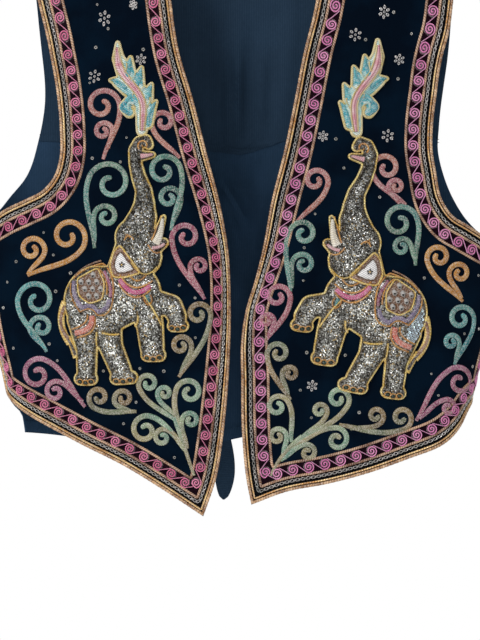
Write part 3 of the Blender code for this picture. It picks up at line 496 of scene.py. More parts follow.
def smooth(at, keys, values):
    """Values, at the places at, of a smooth curve through keys and values; straight beyond its ends."""
    order = np.argsort(keys)
    keys = np.asarray(keys, float)[order]
    values = np.asarray(values, float)[order]
    slopes = np.gradient(values, keys)
    at = np.asarray(at, float)
    i = np.clip(np.searchsorted(keys, at) - 1, 0, len(keys) - 2)
    span = keys[i + 1] - keys[i]
    f = (at - keys[i]) / span
    inside = np.clip(f, 0, 1)
    value = (
        (2 * inside**3 - 3 * inside**2 + 1) * values[i]
        + (inside**3 - 2 * inside**2 + inside) * span * slopes[i]
        + (3 * inside**2 - 2 * inside**3) * values[i + 1]
        + (inside**3 - inside**2) * span * slopes[i + 1]
    )
    end_slope = np.where(f > 1, slopes[i + 1], slopes[i])
    return value + (f - inside) * span * end_slope


def half_width(height):
    return smooth(height, [g.height for g in GIRTHS], [g.half_width for g in GIRTHS])


def section(across, width, crown):
    """Place and depth on a level section, at a distance along the cloth from the centre line."""
    inner = width - SIDE_RADIUS
    turn = np.arcsin(inner / (crown - SIDE_RADIUS))
    beyond = across - crown * turn
    angle = np.where(beyond < 0, across / crown, turn + beyond / SIDE_RADIUS)
    on_crown = beyond < 0
    place = np.where(on_crown, crown * np.sin(angle), inner + SIDE_RADIUS * np.sin(angle))
    depth = np.where(
        on_crown,
        crown * np.cos(angle) - (crown - SIDE_RADIUS) * np.cos(turn),
        SIDE_RADIUS * np.cos(angle),
    )
    return place, depth


def seam_across(height, degrees, crown):
    """Distance along the cloth from the centre line to the side seam, at that angle round the side."""
    turn = np.arcsin((half_width(height) - SIDE_RADIUS) / (crown - SIDE_RADIUS))
    return crown * turn + SIDE_RADIUS * (np.radians(degrees) - turn)


def crest(across):
    """Height of the shoulder's crest over a place: level at the neck, falling to the tip."""
    share = (across - NECK_POINT) / (SHOULDER_TIP - NECK_POINT)
    return -SHOULDER_DROP * np.clip(share, 0, 1.3)


def over_shoulder(across, up, depth, cloth):
    """Height as worn, and share of the body's depth, where cloth curves over the shoulder."""
    top = crest(across)
    run = top - depth + cloth - up
    angle = np.clip(run / cloth, -0.2, 1) * np.pi / 2
    return np.where(run < cloth, top - depth * (1 - np.cos(angle)), up), np.sin(angle)


def fold_drop(across, up, folds):
    """How far soft folds drop the cloth, each a trough along a line that fades at its ends."""
    drop = np.zeros_like(across)
    for fold in folds:
        start = np.array([fold.top_across, fold.top_height])
        run = np.array([fold.foot_across, fold.foot_height]) - start
        length = np.hypot(*run)
        along = ((across - start[0]) * run[0] + (up - start[1]) * run[1]) / length
        off = ((across - start[0]) * run[1] - (up - start[1]) * run[0]) / length
        fade = np.clip(along / length, 0, 1)
        drop += fold.depth * np.sin(np.pi * fade) ** 0.7 * np.exp(-((off / fold.width) ** 2))
    return drop


def edge_roll(side, up):
    """Turn of the front edge in radians, and the flat distance of that edge from the centre line."""
    heights = [row.height for row in side.edge]
    turn = np.radians(np.clip(smooth(up, heights, [row.roll_degrees for row in side.edge]), 0.5, 80))
    worn = smooth(up, heights, [row.across for row in side.edge])
    return turn, worn - ROLL_WIDTH * (1 - np.sin(turn) / turn)


def front_face(side):
    """The function from flat (across, up) to the outer face of one front as worn."""

    def face(across, up):
        away = side.sign * across
        turn, edge = edge_roll(side, up)
        rolled = np.clip(ROLL_WIDTH - (away - edge), 0, None)
        radius = ROLL_WIDTH / turn
        shifted = away + rolled - radius * np.sin(rolled / radius)
        height, share = over_shoulder(shifted, up, FRONT_SHOULDER_DEPTH, FRONT_SHOULDER_CLOTH)
        place, depth = section(shifted, half_width(height), FRONT_CROWN)
        back = radius * (1 - np.cos(rolled / radius)) + fold_drop(away, up, FRONT_FOLDS[side.name])
        return np.stack([side.sign * place, back - depth * share, height], axis=-1)

    return face


def taut_back(across, up):
    """Outer face of the back as worn, without its folds; across runs towards the wearer's right."""
    away = np.abs(across)
    height, share = over_shoulder(away, up, BACK_SHOULDER_DEPTH, BACK_SHOULDER_CLOTH)
    place, depth = section(away, half_width(height), BACK_CROWN)
    return np.stack([-np.sign(across) * place, depth * share, height], axis=-1)


def back_face(across, up):
    worn = taut_back(across, up)
    worn[:, 1] -= fold_drop(across, up, BACK_FOLDS)
    return worn


def reach_of(line):
    """Distance along a line of points, from its first point to each."""
    return np.concatenate([[0], np.cumsum(np.linalg.norm(np.diff(line, axis=0), axis=1))])


def closed(ring):
    """A ring of points with its first point again at its end."""
    return np.concatenate([ring, ring[:1]])


def spokes(turn):
    """Unit vectors at the turns given."""
    return np.stack([np.cos(turn), np.sin(turn)], axis=-1)


def turned(points, turn):
    """Flat points turned anticlockwise about the origin."""
    spin = np.array([[np.cos(turn), -np.sin(turn)], [np.sin(turn), np.cos(turn)]])
    return points @ spin.T


def sideways(run):
    """Unit vectors a quarter turn anticlockwise from each run."""
    run = run / np.linalg.norm(run, axis=1, keepdims=True)
    return np.stack([-run[:, 1], run[:, 0]], axis=1)


def signed_area(ring):
    ahead = np.roll(ring, -1, axis=0)
    return float(np.sum(ring[:, 0] * ahead[:, 1] - ring[:, 1] * ahead[:, 0])) / 2


def through(points, step):
    """Points about step apart on a smooth open curve through a few points."""
    points = np.asarray(points, float)
    knots = reach_of(points)
    at = np.linspace(0, knots[-1], max(2, round(knots[-1] / step) + 1))
    return np.stack([smooth(at, knots, points[:, k]) for k in range(2)], axis=1)


def spread(line, count):
    """count points evenly along a line of points, ends included."""
    knots = reach_of(line)
    at = knots[-1] * np.linspace(0, 1, count)
    return np.stack([np.interp(at, knots, line[:, k]) for k in range(2)], axis=1)


def evenly(line, step, least=4):
    """The same open line at even steps."""
    return spread(line, max(least, round(reach_of(line)[-1] / step)) + 1)


def closed_steps(ring, step):
    """A ring of points at even steps."""
    return evenly(closed(ring), step, 8)[:-1]


def front_outline(side):
    """The four flat edges of one front, as distances away from the centre line and heights."""
    neck_up = FRONT_SHOULDER_CLOTH - FRONT_SHOULDER_DEPTH - SEAM_GAP / 2
    tip_up = neck_up - SHOULDER_DROP
    top = np.array([(NECK_POINT, neck_up), (SHOULDER_TIP, tip_up)])
    heights = np.linspace(neck_up, side.edge[-1].height, 120)
    inner = np.stack([edge_roll(side, heights)[1], heights], axis=1)
    seam_heights = np.linspace(side.seam.top, side.seam.foot, 30)
    seam = seam_across(seam_heights, side.seam.degrees, FRONT_CROWN) - SEAM_GAP / 2
    armhole = through([(SHOULDER_TIP, tip_up), *side.armhole, (seam[0], side.seam.top)], 0.004)
    foot = through([inner[-1], *side.hem, (seam[-1], side.seam.foot)], 0.006)
    return top, foot, inner, armhole, np.stack([seam, seam_heights], axis=1)


def back_halves():
    """For each side of the back, its armhole and side lines down to the hem, as (away, height)."""
    neck_up = BACK_SHOULDER_CLOTH - BACK_SHOULDER_DEPTH - SEAM_GAP / 2
    tip = (SHOULDER_TIP, neck_up - SHOULDER_DROP)
    halves = {}
    for side in SIDES:
        hem = BACK_HEM[0] if side.sign > 0 else BACK_HEM[-1]
        heights = np.linspace(side.seam.top, hem.height, 40)
        seam = seam_across(heights, 180 - side.seam.degrees, BACK_CROWN) - SEAM_GAP / 2
        below = np.clip((side.seam.foot - heights) / VENT_REACH, 0, 1)
        seam -= VENT_INSET * below**2 * (3 - 2 * below)
        armhole = through([tip, *side.back_armhole, (seam[0], side.seam.top)], 0.004)
        halves[side.name] = (armhole, np.stack([seam, heights], axis=1))
    return neck_up, halves


def height_on(line, across):
    """Height of a line of points across the back, at the places given."""
    return smooth(across, [p.across for p in line], [p.height for p in line])


def cut_at(line, height):
    """The upper and lower stretches of a falling line, parted at a height."""
    across = np.interp(-height, -line[:, 1], line[:, 0])
    mark = np.array([[across, height]])
    upper = line[line[:, 1] > height + 1e-6]
    lower = line[line[:, 1] < height - 1e-6]
    return np.concatenate([upper, mark]), np.concatenate([mark, lower])


def closed_outline(side):
    """The flat outline of one front as a closed line of points, away from the centre line and up."""
    top, foot, inner, armhole, seam = front_outline(side)
    runs = [spread(top, 30), armhole, seam, foot[::-1], inner[::-1]]
    return np.concatenate([run[:-1] for run in runs])


def inset(outline, distance):
    """A closed outline moved inwards by a distance, without the loops that sharp corners would leave."""
    inward = 1 if signed_area(outline) > 0 else -1
    run = np.roll(outline, -1, axis=0) - outline
    first = inward * sideways(outline - np.roll(outline, 1, axis=0))
    second = inward * sideways(run)
    mitre = (first + second) / (1 + np.sum(first * second, axis=1, keepdims=True))
    reach = np.sum(run**2, axis=1)
    kept = []
    for point in outline + distance * mitre:
        along = np.clip(np.sum((point - outline) * run, axis=1) / reach, 0, 1)
        nearest = np.linalg.norm(point - outline - along[:, None] * run, axis=1).min()
        if nearest > 0.985 * distance:
            kept.append(point)
    return np.array(kept)


def thinned(line, step, corner_degrees=25):
    """A closed line with points about step apart, and every corner kept."""
    run = np.roll(line, -1, axis=0) - line
    heading = np.arctan2(run[:, 1], run[:, 0])
    bend = np.abs((heading - np.roll(heading, 1) + np.pi) % (2 * np.pi) - np.pi)
    kept = []
    travelled = step
    for i, point in enumerate(line):
        if travelled >= step or bend[i] > np.radians(corner_degrees):
            kept.append(point)
            travelled = 0
        travelled += np.linalg.norm(run[i])
    if np.linalg.norm(kept[-1] - kept[0]) < step / 2:
        kept.pop()
    return np.array(kept)


def ends_of(limb):
    return np.array([limb.along, limb.up], float), np.array([limb.to_along, limb.to_up], float)


def limb_outline(limb):
    """The outline of one tapered limb, a round at each end."""
    start, end = ends_of(limb)
    heading = np.arctan2(end[1] - start[1], end[0] - start[0])
    round_end = spokes(np.linspace(np.pi / 2, 3 * np.pi / 2, 14) + heading)
    return np.concatenate([start + limb.radius * round_end, end - limb.to_radius * round_end])


def outline_round(rings):
    """The outer outline of overlapping closed rings of points."""
    corners, loops = [], []
    for ring in rings:
        loops.append(list(range(len(corners), len(corners) + len(ring))))
        corners += [Vector(p) for p in ring]
    found, _, faces, _, _, _ = delaunay_2d_cdt(corners, [], loops, 1, 1e-3)
    edges = {(face[k - 1], face[k]) for face in faces for k in range(len(face))}
    after = {start: end for start, end in sorted(edges) if (end, start) not in edges}
    longest = []
    while after:
        loop = [next(iter(after))]
        while loop[-1] in after:
            loop.append(after.pop(loop[-1]))
        longest = max(longest, loop, key=len)
    return np.array([found[i] for i in longest[:-1]])


def softened(ring, passes=2):
    """A closed line whose points are drawn a few times towards their neighbours."""
    for _ in range(passes):
        ring = 0.6 * ring + 0.2 * (np.roll(ring, 1, axis=0) + np.roll(ring, -1, axis=0))
    return ring


def motif_outline(motif, step):
    """The outline of a motif's limbs together, softened a little, in its own millimetres."""
    return softened(closed_steps(outline_round([limb_outline(limb) for limb in motif.limbs]), step))


def polygon_round(corners, count):
    """A closed shape through a few corners, with its corners softened."""
    return softened(spread(closed(np.array(corners, float)), count + 1)[:-1])


def inside(points, outline):
    """Which flat points lie inside a closed outline."""
    x, y = points[:, 0, None], points[:, 1, None]
    ahead = np.roll(outline, -1, axis=0)
    crosses = (outline[:, 1] > y) != (ahead[:, 1] > y)
    rise = np.where(ahead[:, 1] == outline[:, 1], 1, ahead[:, 1] - outline[:, 1])
    meet = outline[:, 0] + (y - outline[:, 1]) / rise * (ahead[:, 0] - outline[:, 0])
    return np.count_nonzero(crosses & (x < meet), axis=1) % 2 == 1


def edge_distance(points, outline):
    """Distance from each flat point to a closed outline, worked out in batches."""
    run = np.roll(outline, -1, axis=0) - outline
    found = [np.zeros(0)]
    for start in range(0, len(points), BATCH):
        offset = points[start : start + BATCH, None] - outline
        along = np.clip(np.sum(offset * run, axis=2) / np.sum(run**2, axis=1), 0, 1)
        found.append(np.linalg.norm(offset - along[..., None] * run, axis=2).min(axis=1))
    return np.concatenate(found)


def line_distance(points, line):
    """Distance from each flat point to the nearest point of a line."""
    return np.linalg.norm(points[:, None] - line[None], axis=2).min(axis=1)


def hex_points(low, high, step):
    """Flat points on a lattice of equal triangles over a box."""
    rows = []
    for row, up in enumerate(np.arange(low[1], high[1], step * 0.866)):
        across = np.arange(low[0] + step / 2 * (row % 2), high[0], step)
        rows.append(np.stack([across, np.full(len(across), up)], axis=1))
    return np.concatenate(rows)


def linear(hex_colour):
    """An sRGB hex value as linear red, green and blue."""
    parts = np.array([int(hex_colour[k : k + 2], 16) for k in (1, 3, 5)]) / 255
    return np.where(parts <= 0.04045, parts / 12.92, ((parts + 0.055) / 1.055) ** 2.4)


def worn(points, face):
    """Flat points (across, up, out) as worn: out runs along the cloth's normal."""
    across, up, out = np.asarray(points, float).T
    step = 0.0005
    along = face(across + step, up) - face(across - step, up)
    rise = face(across, up + step) - face(across, up - step)
    normal = np.cross(along, rise)
    normal /= np.linalg.norm(normal, axis=1, keepdims=True)
    return face(across, up) + out[:, None] * normal


def on_cloth(side, seen):
    """Flat (across, up) of points given as seen from the front, in millimetres."""
    aim = np.asarray(seen, float) / 1000
    flat = aim.copy()
    face = front_face(side)
    for _ in range(30):
        here = face(flat[:, 0], flat[:, 1])
        flat += 0.9 * (aim - here[:, [0, 2]])
    return flat


def mitred(line, distance, step):
    """A closed line moved inwards by a distance in millimetres, at even steps, its corners kept."""
    return closed_steps(thinned(inset(line, distance / 1000), 0.0004, 25), step)


def curved(start, middle, end, count):
    """Points on a smooth curve from a start, past a middle, to an end."""
    start, middle, end = (np.asarray(p, float) for p in (start, middle, end))
    pull = 2 * middle - (start + end) / 2
    t = np.linspace(0, 1, count)[:, None]
    return (1 - t) ** 2 * start + 2 * t * (1 - t) * pull + t**2 * end


def stroke_line(stroke, count):
    """The curve of one stroke in its motif's own millimetres."""
    corners = ((stroke.along, stroke.up), (stroke.mid_along, stroke.mid_up), (stroke.to_along, stroke.to_up))
    return curved(*corners, count)


def hook_line(hook):
    """The line of one hook, in millimetres as seen from the front: a stem that bends into a curl."""
    foot = np.array([hook.foot_across, hook.foot_height], float)
    eye = np.array([hook.eye_across, hook.eye_height], float)
    far = np.hypot(*(eye - foot))
    heading = np.arctan2(*(eye - foot)[::-1])
    entry = heading - hook.hand * np.radians(CURL_ENTRY)
    start = eye + hook.reach * spokes(entry)
    tangent = hook.hand * np.array([-np.sin(entry), np.cos(entry)])
    first = foot + STEM_PULL * far * spokes(heading - hook.hand * np.radians(STEM_LEAN))
    second = start - STEM_PULL * far * tangent
    t = np.linspace(0, 1, 22)[:-1, None]
    stem = (1 - t) ** 3 * foot + 3 * t * (1 - t) ** 2 * first + 3 * t**2 * (1 - t) * second + t**3 * start
    share = np.linspace(0, 1, 40)
    radius = hook.reach * (1 - 0.80 * share**0.9)
    curl = eye + radius[:, None] * spokes(entry + hook.hand * share * 2 * np.pi * CURL_TURNS)
    return np.concatenate([stem, curl])


class Work:
    """What is sewn into one piece: flat points, faces, pattern coordinates, thread colours and slots."""

    def __init__(self):
        self.points = []
        self.faces = []
        self.patterns = []
        self.tones = []
        self.slots = []
        self.count = 0

    def add(self, points, faces, patterns, tones, slot=0):
        points = np.asarray(points, float)
        tones = np.asarray(tones, float)
        if tones.ndim == 1:
            tones = np.repeat(tones[None], len(points), axis=0)
        self.points.append(points)
        self.faces += [tuple(int(i) + self.count for i in face) for face in faces]
        self.patterns.append(np.asarray(patterns, float).reshape(-1, 2))
        self.tones.append(tones)
        self.slots += list(slot) if hasattr(slot, "__len__") else [slot] * len(faces)
        self.count += len(points)

    def band(self, line, width, height, tone, lift=0.0, around=False, ring=None, slot=0, lobes=0, pitch=1):
        """A thread or cord swept along a flat line; its section is a dome, or a twisted round for lobes."""
        line = np.asarray(line, float)
        count = len(line)
        width = np.broadcast_to(np.asarray(width, float), (count,))
        height = np.broadcast_to(np.asarray(height, float), (count,))
        ahead, behind = np.roll(line, -1, axis=0), np.roll(line, 1, axis=0)
        left = sideways(ahead - behind if around else np.gradient(line, axis=0))
        reach = reach_of(closed(line) if around else line)
        section_shape = DOME if ring is None else ring
        sides = len(section_shape)
        across = section_shape[None, :, 0] * width[:, None]
        out = lift + section_shape[None, :, 1] * height[:, None]
        if lobes:
            turn = np.arctan2(section_shape[:, 1] - 0.5, section_shape[:, 0])
            wave = 1 + 0.07 * np.cos(lobes * turn[None] - 2 * np.pi * reach[:count, None] / pitch)
            across = across * wave
            out = lift + (0.5 + (section_shape[None, :, 1] - 0.5) * wave) * height[:, None]
        places = line[:, None] + left[:, None] * across[..., None]
        points = np.concatenate([places, out[..., None]], axis=2).reshape(-1, 3)
        rows = count if around else count - 1
        i, k = np.meshgrid(np.arange(rows), np.arange(sides), indexing="ij")
        after, beside = (i + 1) % count, (k + 1) % sides
        quads = np.stack([i * sides + k, i * sides + beside, after * sides + beside, after * sides + k], axis=-1)
        here, there = reach[i], reach[i + 1]
        low, high = k / sides, (k + 1) / sides
        pairs = [(here, low), (here, high), (there, high), (there, low)]
        patterns = np.stack([np.stack(p, axis=-1) for p in pairs], axis=2).reshape(-1, 4, 2)
        faces = quads.reshape(-1, 4).tolist()
        if not around:
            ends = []
            for row, order in ((0, -1), (count - 1, 1)):
                faces.append([row * sides + n for n in range(sides)][::order])
                ends.append(np.stack([np.full(sides, reach[row]), np.arange(sides) / sides], axis=1))
            patterns = np.concatenate([patterns.reshape(-1, 2), *ends])
        self.add(points, faces, patterns.reshape(-1, 2), tone, slot)

    def stamp(self, shape, place, size, turn, lift, tone, slope=(0.0, 0.0), slot=0):
        """A copy of a small form, set on the cloth at a flat place and turned in its plane."""
        points, faces = shape
        flat = turned(points[:, :2] * size, turn)
        rise = points[:, 2] * np.min(size) + flat @ np.asarray(slope)
        moved = np.column_stack([flat + place, rise + lift])
        self.add(moved, faces, plain_pattern(faces), tone, slot)

    def piece(self, name, face, materials, sharp_degrees=60):
        """The finished object: draped, smooth, and riding on the garment's one body."""
        mesh = bpy.data.meshes.new(name)
        points = worn(np.concatenate(self.points), face)
        mesh.from_pydata(points.tolist(), [], self.faces)
        for material in materials:
            mesh.materials.append(material)
        mesh.polygons.foreach_set("material_index", np.array(self.slots, np.int32))
        layer = mesh.uv_layers.new(name="cloth")
        layer.data.foreach_set("uv", np.concatenate(self.patterns).astype(np.float32).ravel())
        tones = np.concatenate(self.tones)
        tones = np.column_stack([tones, np.ones(len(tones))])
        colours = mesh.color_attributes.new("thread", "FLOAT_COLOR", "POINT")
        colours.data.foreach_set("color", tones.astype(np.float32).ravel())
        mesh.update()
        mesh.shade_smooth()
        mesh.set_sharp_from_angle(angle=np.radians(sharp_degrees))
        made = bpy.data.objects.new(name, mesh)
        bpy.context.scene.collection.objects.link(made)
        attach(made, "root")
        return made


def plain_pattern(faces):
    """Pattern coordinates that are the same all over, for small forms without thread lines."""
    return np.tile([0.0, PLAIN], (sum(len(face) for face in faces), 1))


def rounded(sides):
    """A round section, from its widest point anticlockwise: width 1, height 1, standing on 0."""
    return 0.5 * spokes(2 * np.pi * np.arange(sides) / sides) + [0, 0.5]


DOME = np.array([(0.5, 0.0), (0.46, 0.45), (0.26, 0.86), (0.0, 1.0), (-0.26, 0.86), (-0.46, 0.45), (-0.5, 0.0)])
# A dome's pattern has its crest here. Flat stitching keeps its pattern at PLAIN, which is clear of the
# painted shade along the crest and at the rims
CREST = 0.43
PLAIN = 0.28
STRAND = rounded(5)
ROPE = rounded(10)
TAPE = np.array([(0.5, 0.0), (0.5, 1.0), (0.25, 1.0), (0.0, 1.0), (-0.25, 1.0), (-0.5, 1.0), (-0.5, 0.0)])


def small_form(add_shape, shape_it=None):
    """Points and faces of a small form that an operator makes; its object is removed again."""
    bpy.ops.object.select_all(action="DESELECT")
    add_shape()
    made = bpy.context.object
    if shape_it:
        bpy.ops.object.mode_set(mode="EDIT")
        shape_it()
        bpy.ops.object.mode_set(mode="OBJECT")
    points = np.array([v.co for v in made.data.vertices], float)
    faces = [tuple(p.vertices) for p in made.data.polygons]
    mesh = made.data
    bpy.data.objects.remove(made)
    bpy.data.meshes.remove(mesh)
    return points, faces


def torus(sides, major, minor):
    return lambda: bpy.ops.mesh.primitive_torus_add(
        major_segments=sides, minor_segments=4, major_radius=major, minor_radius=minor
    )


def chain_link():
    """An oval link, one unit long and lying flat."""
    return small_form(torus(10, 0.38, 0.13), lambda: bpy.ops.transform.resize(value=(1.0, 0.72, 1.1)))


def bead_ring():
    """A tiny ring bead, one unit across."""
    return small_form(torus(8, 0.34, 0.16))


def sequin():
    """A six-sided disc, raised to its middle, one unit across and closed below."""

    def disc():
        bpy.ops.mesh.primitive_cone_add(
            vertices=6, radius1=0.5, radius2=0.0, depth=0.22, end_fill_type="NGON", location=(0, 0, 0.11)
        )

    return small_form(disc)


def bead():
    """A small faceted bead, one unit across, half sunk in the cloth."""
    return small_form(
        lambda: bpy.ops.mesh.primitive_ico_sphere_add(subdivisions=1, radius=0.5, location=(0, 0, 0.2))
    )


def stitch():
    """One stitch, one unit long, lying flat with its ends sunk."""
    return small_form(
        lambda: bpy.ops.mesh.primitive_uv_sphere_add(segments=6, ring_count=4, radius=0.5, location=(0, 0, 0.1)),
        lambda: bpy.ops.transform.resize(value=(1.0, 1.0, 0.7)),
    )


FORMS = {}


def form(make):
    """A small form, made once and then shared."""
    if make not in FORMS:
        FORMS[make] = make()
    return FORMS[make]


def add(tree, kind, settings=None, inputs=None):
    """A node with its settings and its links or values, by socket name or number."""
    made = tree.nodes.new(kind)
    for key, value in (settings or {}).items():
        setattr(made, key, value)
    for key, value in (inputs or {}).items():
        if isinstance(value, bpy.types.NodeSocket):
            tree.links.new(value, made.inputs[key])
        else:
            made.inputs[key].default_value = value
    return made


def new_material(name, roughness, metallic=0.0, ior=1.45):
    """A material, its node tree and its shader, with the values that are the same all over."""
    material = bpy.data.materials.new(name)
    material.use_nodes = True
    tree = material.node_tree
    shader = tree.nodes["Principled BSDF"]
    shader.inputs["Roughness"].default_value = roughness
    shader.inputs["Metallic"].default_value = metallic
    shader.inputs["IOR"].default_value = ior
    return material, tree, shader


def value_of(tree, operation, first, second):
    return add(tree, "ShaderNodeMath", {"operation": operation}, {0: first, 1: second, 2: 0.5}).outputs[0]


def blended(tree, blend, share, first, second):
    """A colour laid over another, by a share."""
    kind = {"data_type": "RGBA", "blend_type": blend}
    return add(tree, "ShaderNodeMix", kind, {0: share, 6: first, 7: second}).outputs[2]


def mixed(tree, share, first, second):
    """A colour between two colours."""
    return blended(tree, "MIX", share, first, second)


def rgba(hex_colour):
    return (*linear(hex_colour), 1.0)


def along_cloth(tree):
    """The two pattern coordinates of a piece's cloth or thread."""
    pattern = add(tree, "ShaderNodeUVMap", {"uv_map": "cloth"})
    apart = add(tree, "ShaderNodeSeparateXYZ", {}, {0: pattern.outputs[0]})
    return apart.outputs["X"], apart.outputs["Y"]


def wave_of(tree, phase):
    """A sine wave from 0 to 1."""
    return value_of(tree, "MULTIPLY_ADD", value_of(tree, "SINE", phase, 0.0), 0.5)


def phase_along(tree, place, spacing_mm):
    return value_of(tree, "MULTIPLY", place, 2000 * np.pi / spacing_mm)


def speckle(tree, size_mm, detail=2.0):
    """Even noise of a size in millimetres, in the piece's own place."""
    place = add(tree, "ShaderNodeTexCoord").outputs["Object"]
    values = {"Vector": place, "Scale": 1000 / size_mm, "Detail": detail}
    return add(tree, "ShaderNodeTexNoise", {}, values).outputs["Fac"]


def stretched(tree, share, low, high):
    """A share between two limits, from 0 to 1."""
    values = {"Value": share, "From Min": low, "From Max": high}
    return add(tree, "ShaderNodeMapRange", {}, values).outputs[0]


def bumped(tree, shader, height, depth_mm):
    values = {"Height": height, "Distance": depth_mm / 1000, "Strength": 1.0}
    tree.links.new(add(tree, "ShaderNodeBump", {}, values).outputs[0], shader.inputs["Normal"])


def velvet_material():
    """Cotton velvet: a short upright pile, near black face on and soft blue where it turns away."""
    cloth = bpy.context.scene.waistcoat_cloth
    material, tree, shader = new_material("cotton_velvet_midnight", 0.85)
    brushed = stretched(tree, speckle(tree, 38, 3), 0.40, 0.62)
    colour = mixed(tree, brushed, (*cloth.velvet, 1), (*cloth.velvet_brushed, 1))
    tree.links.new(colour, shader.inputs["Base Color"])
    shader.inputs["Specular IOR Level"].default_value = 0.03
    shader.inputs["Sheen Weight"].default_value = cloth.sheen
    shader.inputs["Sheen Roughness"].default_value = 0.32
    shader.inputs["Sheen Tint"].default_value = rgba("#5E86B8")
    # Real pile is 0.1 mm; its tufts are drawn at 0.9 mm so that they show
    bumped(tree, shader, speckle(tree, 0.9, 1), 0.25)
    return material


def lining_material(name, plain, faded):
    """Navy cotton twill: matt, with fine upright lines and a faint bloom on its folds."""
    material, tree, shader = new_material(name, 0.78)
    # Real twill lines stand 0.5 mm apart; they are drawn 1.7 mm apart so that they show
    wave = wave_of(tree, phase_along(tree, along_cloth(tree)[0], 1.7))
    worn_patch = stretched(tree, speckle(tree, 45, 4), 0.25, 0.8)
    colour = mixed(tree, worn_patch, (*plain, 1), (*faded, 1))
    lines = value_of(tree, "MULTIPLY", value_of(tree, "MULTIPLY", wave, speckle(tree, 3, 2)), 0.24)
    colour = mixed(tree, lines, colour, rgba("#4A627E"))
    tree.links.new(colour, shader.inputs["Base Color"])
    shader.inputs["Specular IOR Level"].default_value = 0.12
    shader.inputs["Sheen Weight"].default_value = 0.04
    shader.inputs["Sheen Roughness"].default_value = 0.5
    shader.inputs["Sheen Tint"].default_value = rgba("#7F9CC0")
    height = value_of(tree, "ADD", value_of(tree, "MULTIPLY", wave, 0.5), speckle(tree, 1.1, 2))
    bumped(tree, shader, height, 0.12)
    return material


def satin_ground_material(name, colour_hex, glint_hex):
    """Silk satin ribbon under the stitching: dark, close-woven and faintly lustrous."""
    material, tree, shader = new_material(name, 0.55)
    colour = mixed(tree, stretched(tree, speckle(tree, 1.6, 2), 0.4, 0.7), rgba(colour_hex), rgba(glint_hex))
    tree.links.new(colour, shader.inputs["Base Color"])
    shader.inputs["Specular IOR Level"].default_value = 0.04
    bumped(tree, shader, speckle(tree, 0.8, 1), 0.1)
    return material


def floss_material(name, spacing_mm, roughness, metallic=0.0, around=0, depth_mm=0.35, fleck=0.45, gaps=0.75):
    """Wound or couched thread: its dye, with painted highlight flecks where it shines, and darkened as painted
    shade in lines between turns and at its rims.
    """
    material, tree, shader = new_material(name, roughness, metallic)
    shader.inputs["Specular IOR Level"].default_value = 0.3
    dye = add(tree, "ShaderNodeAttribute", {"attribute_name": "thread"})
    grain = stretched(tree, speckle(tree, 1.3, 1), 0.46, 0.58)
    along, across = along_cloth(tree)
    if around:
        # Turns slant round a cord
        phase = phase_along(tree, along, spacing_mm)
        slant = value_of(tree, "MULTIPLY", across, 2 * np.pi * around)
        turns = wave_of(tree, value_of(tree, "ADD", phase, slant))
    else:
        # A dome's pattern runs from 0 to 0.86 over its width: chevrons meet on its crest
        off = value_of(tree, "ABSOLUTE", value_of(tree, "SUBTRACT", across, CREST), 0.0)
        slant = value_of(tree, "MULTIPLY", off, 2.6 * 2 * np.pi)
        turns = wave_of(tree, value_of(tree, "SUBTRACT", phase_along(tree, along, spacing_mm), slant))
        # Painted shade: a dome is darkened at its rims, where it turns away, and along its crest, where the
        # stitches part
        rim = value_of(tree, "MULTIPLY", stretched(tree, off, 0.30, 0.43), 0.75)
        spine = value_of(tree, "MULTIPLY", stretched(tree, off, 0.13, 0.02), 0.5)
    # Painted highlight: noise flecks lighten the dye where the thread would shine
    share = value_of(tree, "MULTIPLY", grain, fleck)
    lighter = blended(tree, "SCREEN", share, dye.outputs["Color"], (0.50, 0.47, 0.44, 1))
    # Painted shade in the lines between turns
    dark = value_of(tree, "MULTIPLY", value_of(tree, "SUBTRACT", 1.0, turns), gaps)
    if not around:
        dark = value_of(tree, "MAXIMUM", dark, value_of(tree, "MAXIMUM", rim, spine))
    shaded = blended(tree, "MULTIPLY", dark, lighter, (0.30, 0.24, 0.22, 1))
    tree.links.new(shaded, shader.inputs["Base Color"])
    height = value_of(tree, "ADD", turns, value_of(tree, "MULTIPLY", grain, 0.6))
    bumped(tree, shader, height, depth_mm)
    return material


def sequin_material():
    """Pressed metal-faced film: small mirrors at every slant, silver, smoke and a little gold."""
    material, tree, shader = new_material("pressed_film_sequins", 0.3, 0.75)
    dye = add(tree, "ShaderNodeAttribute", {"attribute_name": "thread"})
    tree.links.new(dye.outputs["Color"], shader.inputs["Base Color"])
    return material


def jewel_material():
    """Dark glass paste: smooth and black-green, with a sharp small shine."""
    material, tree, shader = new_material("cut_glass_paste_dark", 0.12, 0.0, 1.52)
    dye = add(tree, "ShaderNodeAttribute", {"attribute_name": "thread"})
    depth = mixed(tree, stretched(tree, speckle(tree, 1.5, 1), 0.45, 0.6), dye.outputs["Color"], rgba("#0B0F0E"))
    tree.links.new(depth, shader.inputs["Base Color"])
    return material


def tone(dye, share=0.0):
    """A thread's colour, from its body (0) to its lighter fleck (1), the colour that its painted shine drifts
    towards.
    """
    found = DYES[dye]
    return linear(found.body) * (1 - share) + linear(found.fleck) * share


def tones_along(dye, count, sides, rng, amount=0.5):
    """Painted shine: colour that drifts a little along a thread towards its lighter colour, as the real one's
    shine does.
    """
    stops = np.arange(0, count + 6, 5)
    share = amount * np.interp(np.arange(count), stops, rng.random(len(stops)))[:, None, None]
    body, fleck = linear(DYES[dye].body), linear(DYES[dye].fleck)
    return np.repeat(body * (1 - share) + fleck * share, sides, axis=1).reshape(-1, 3)


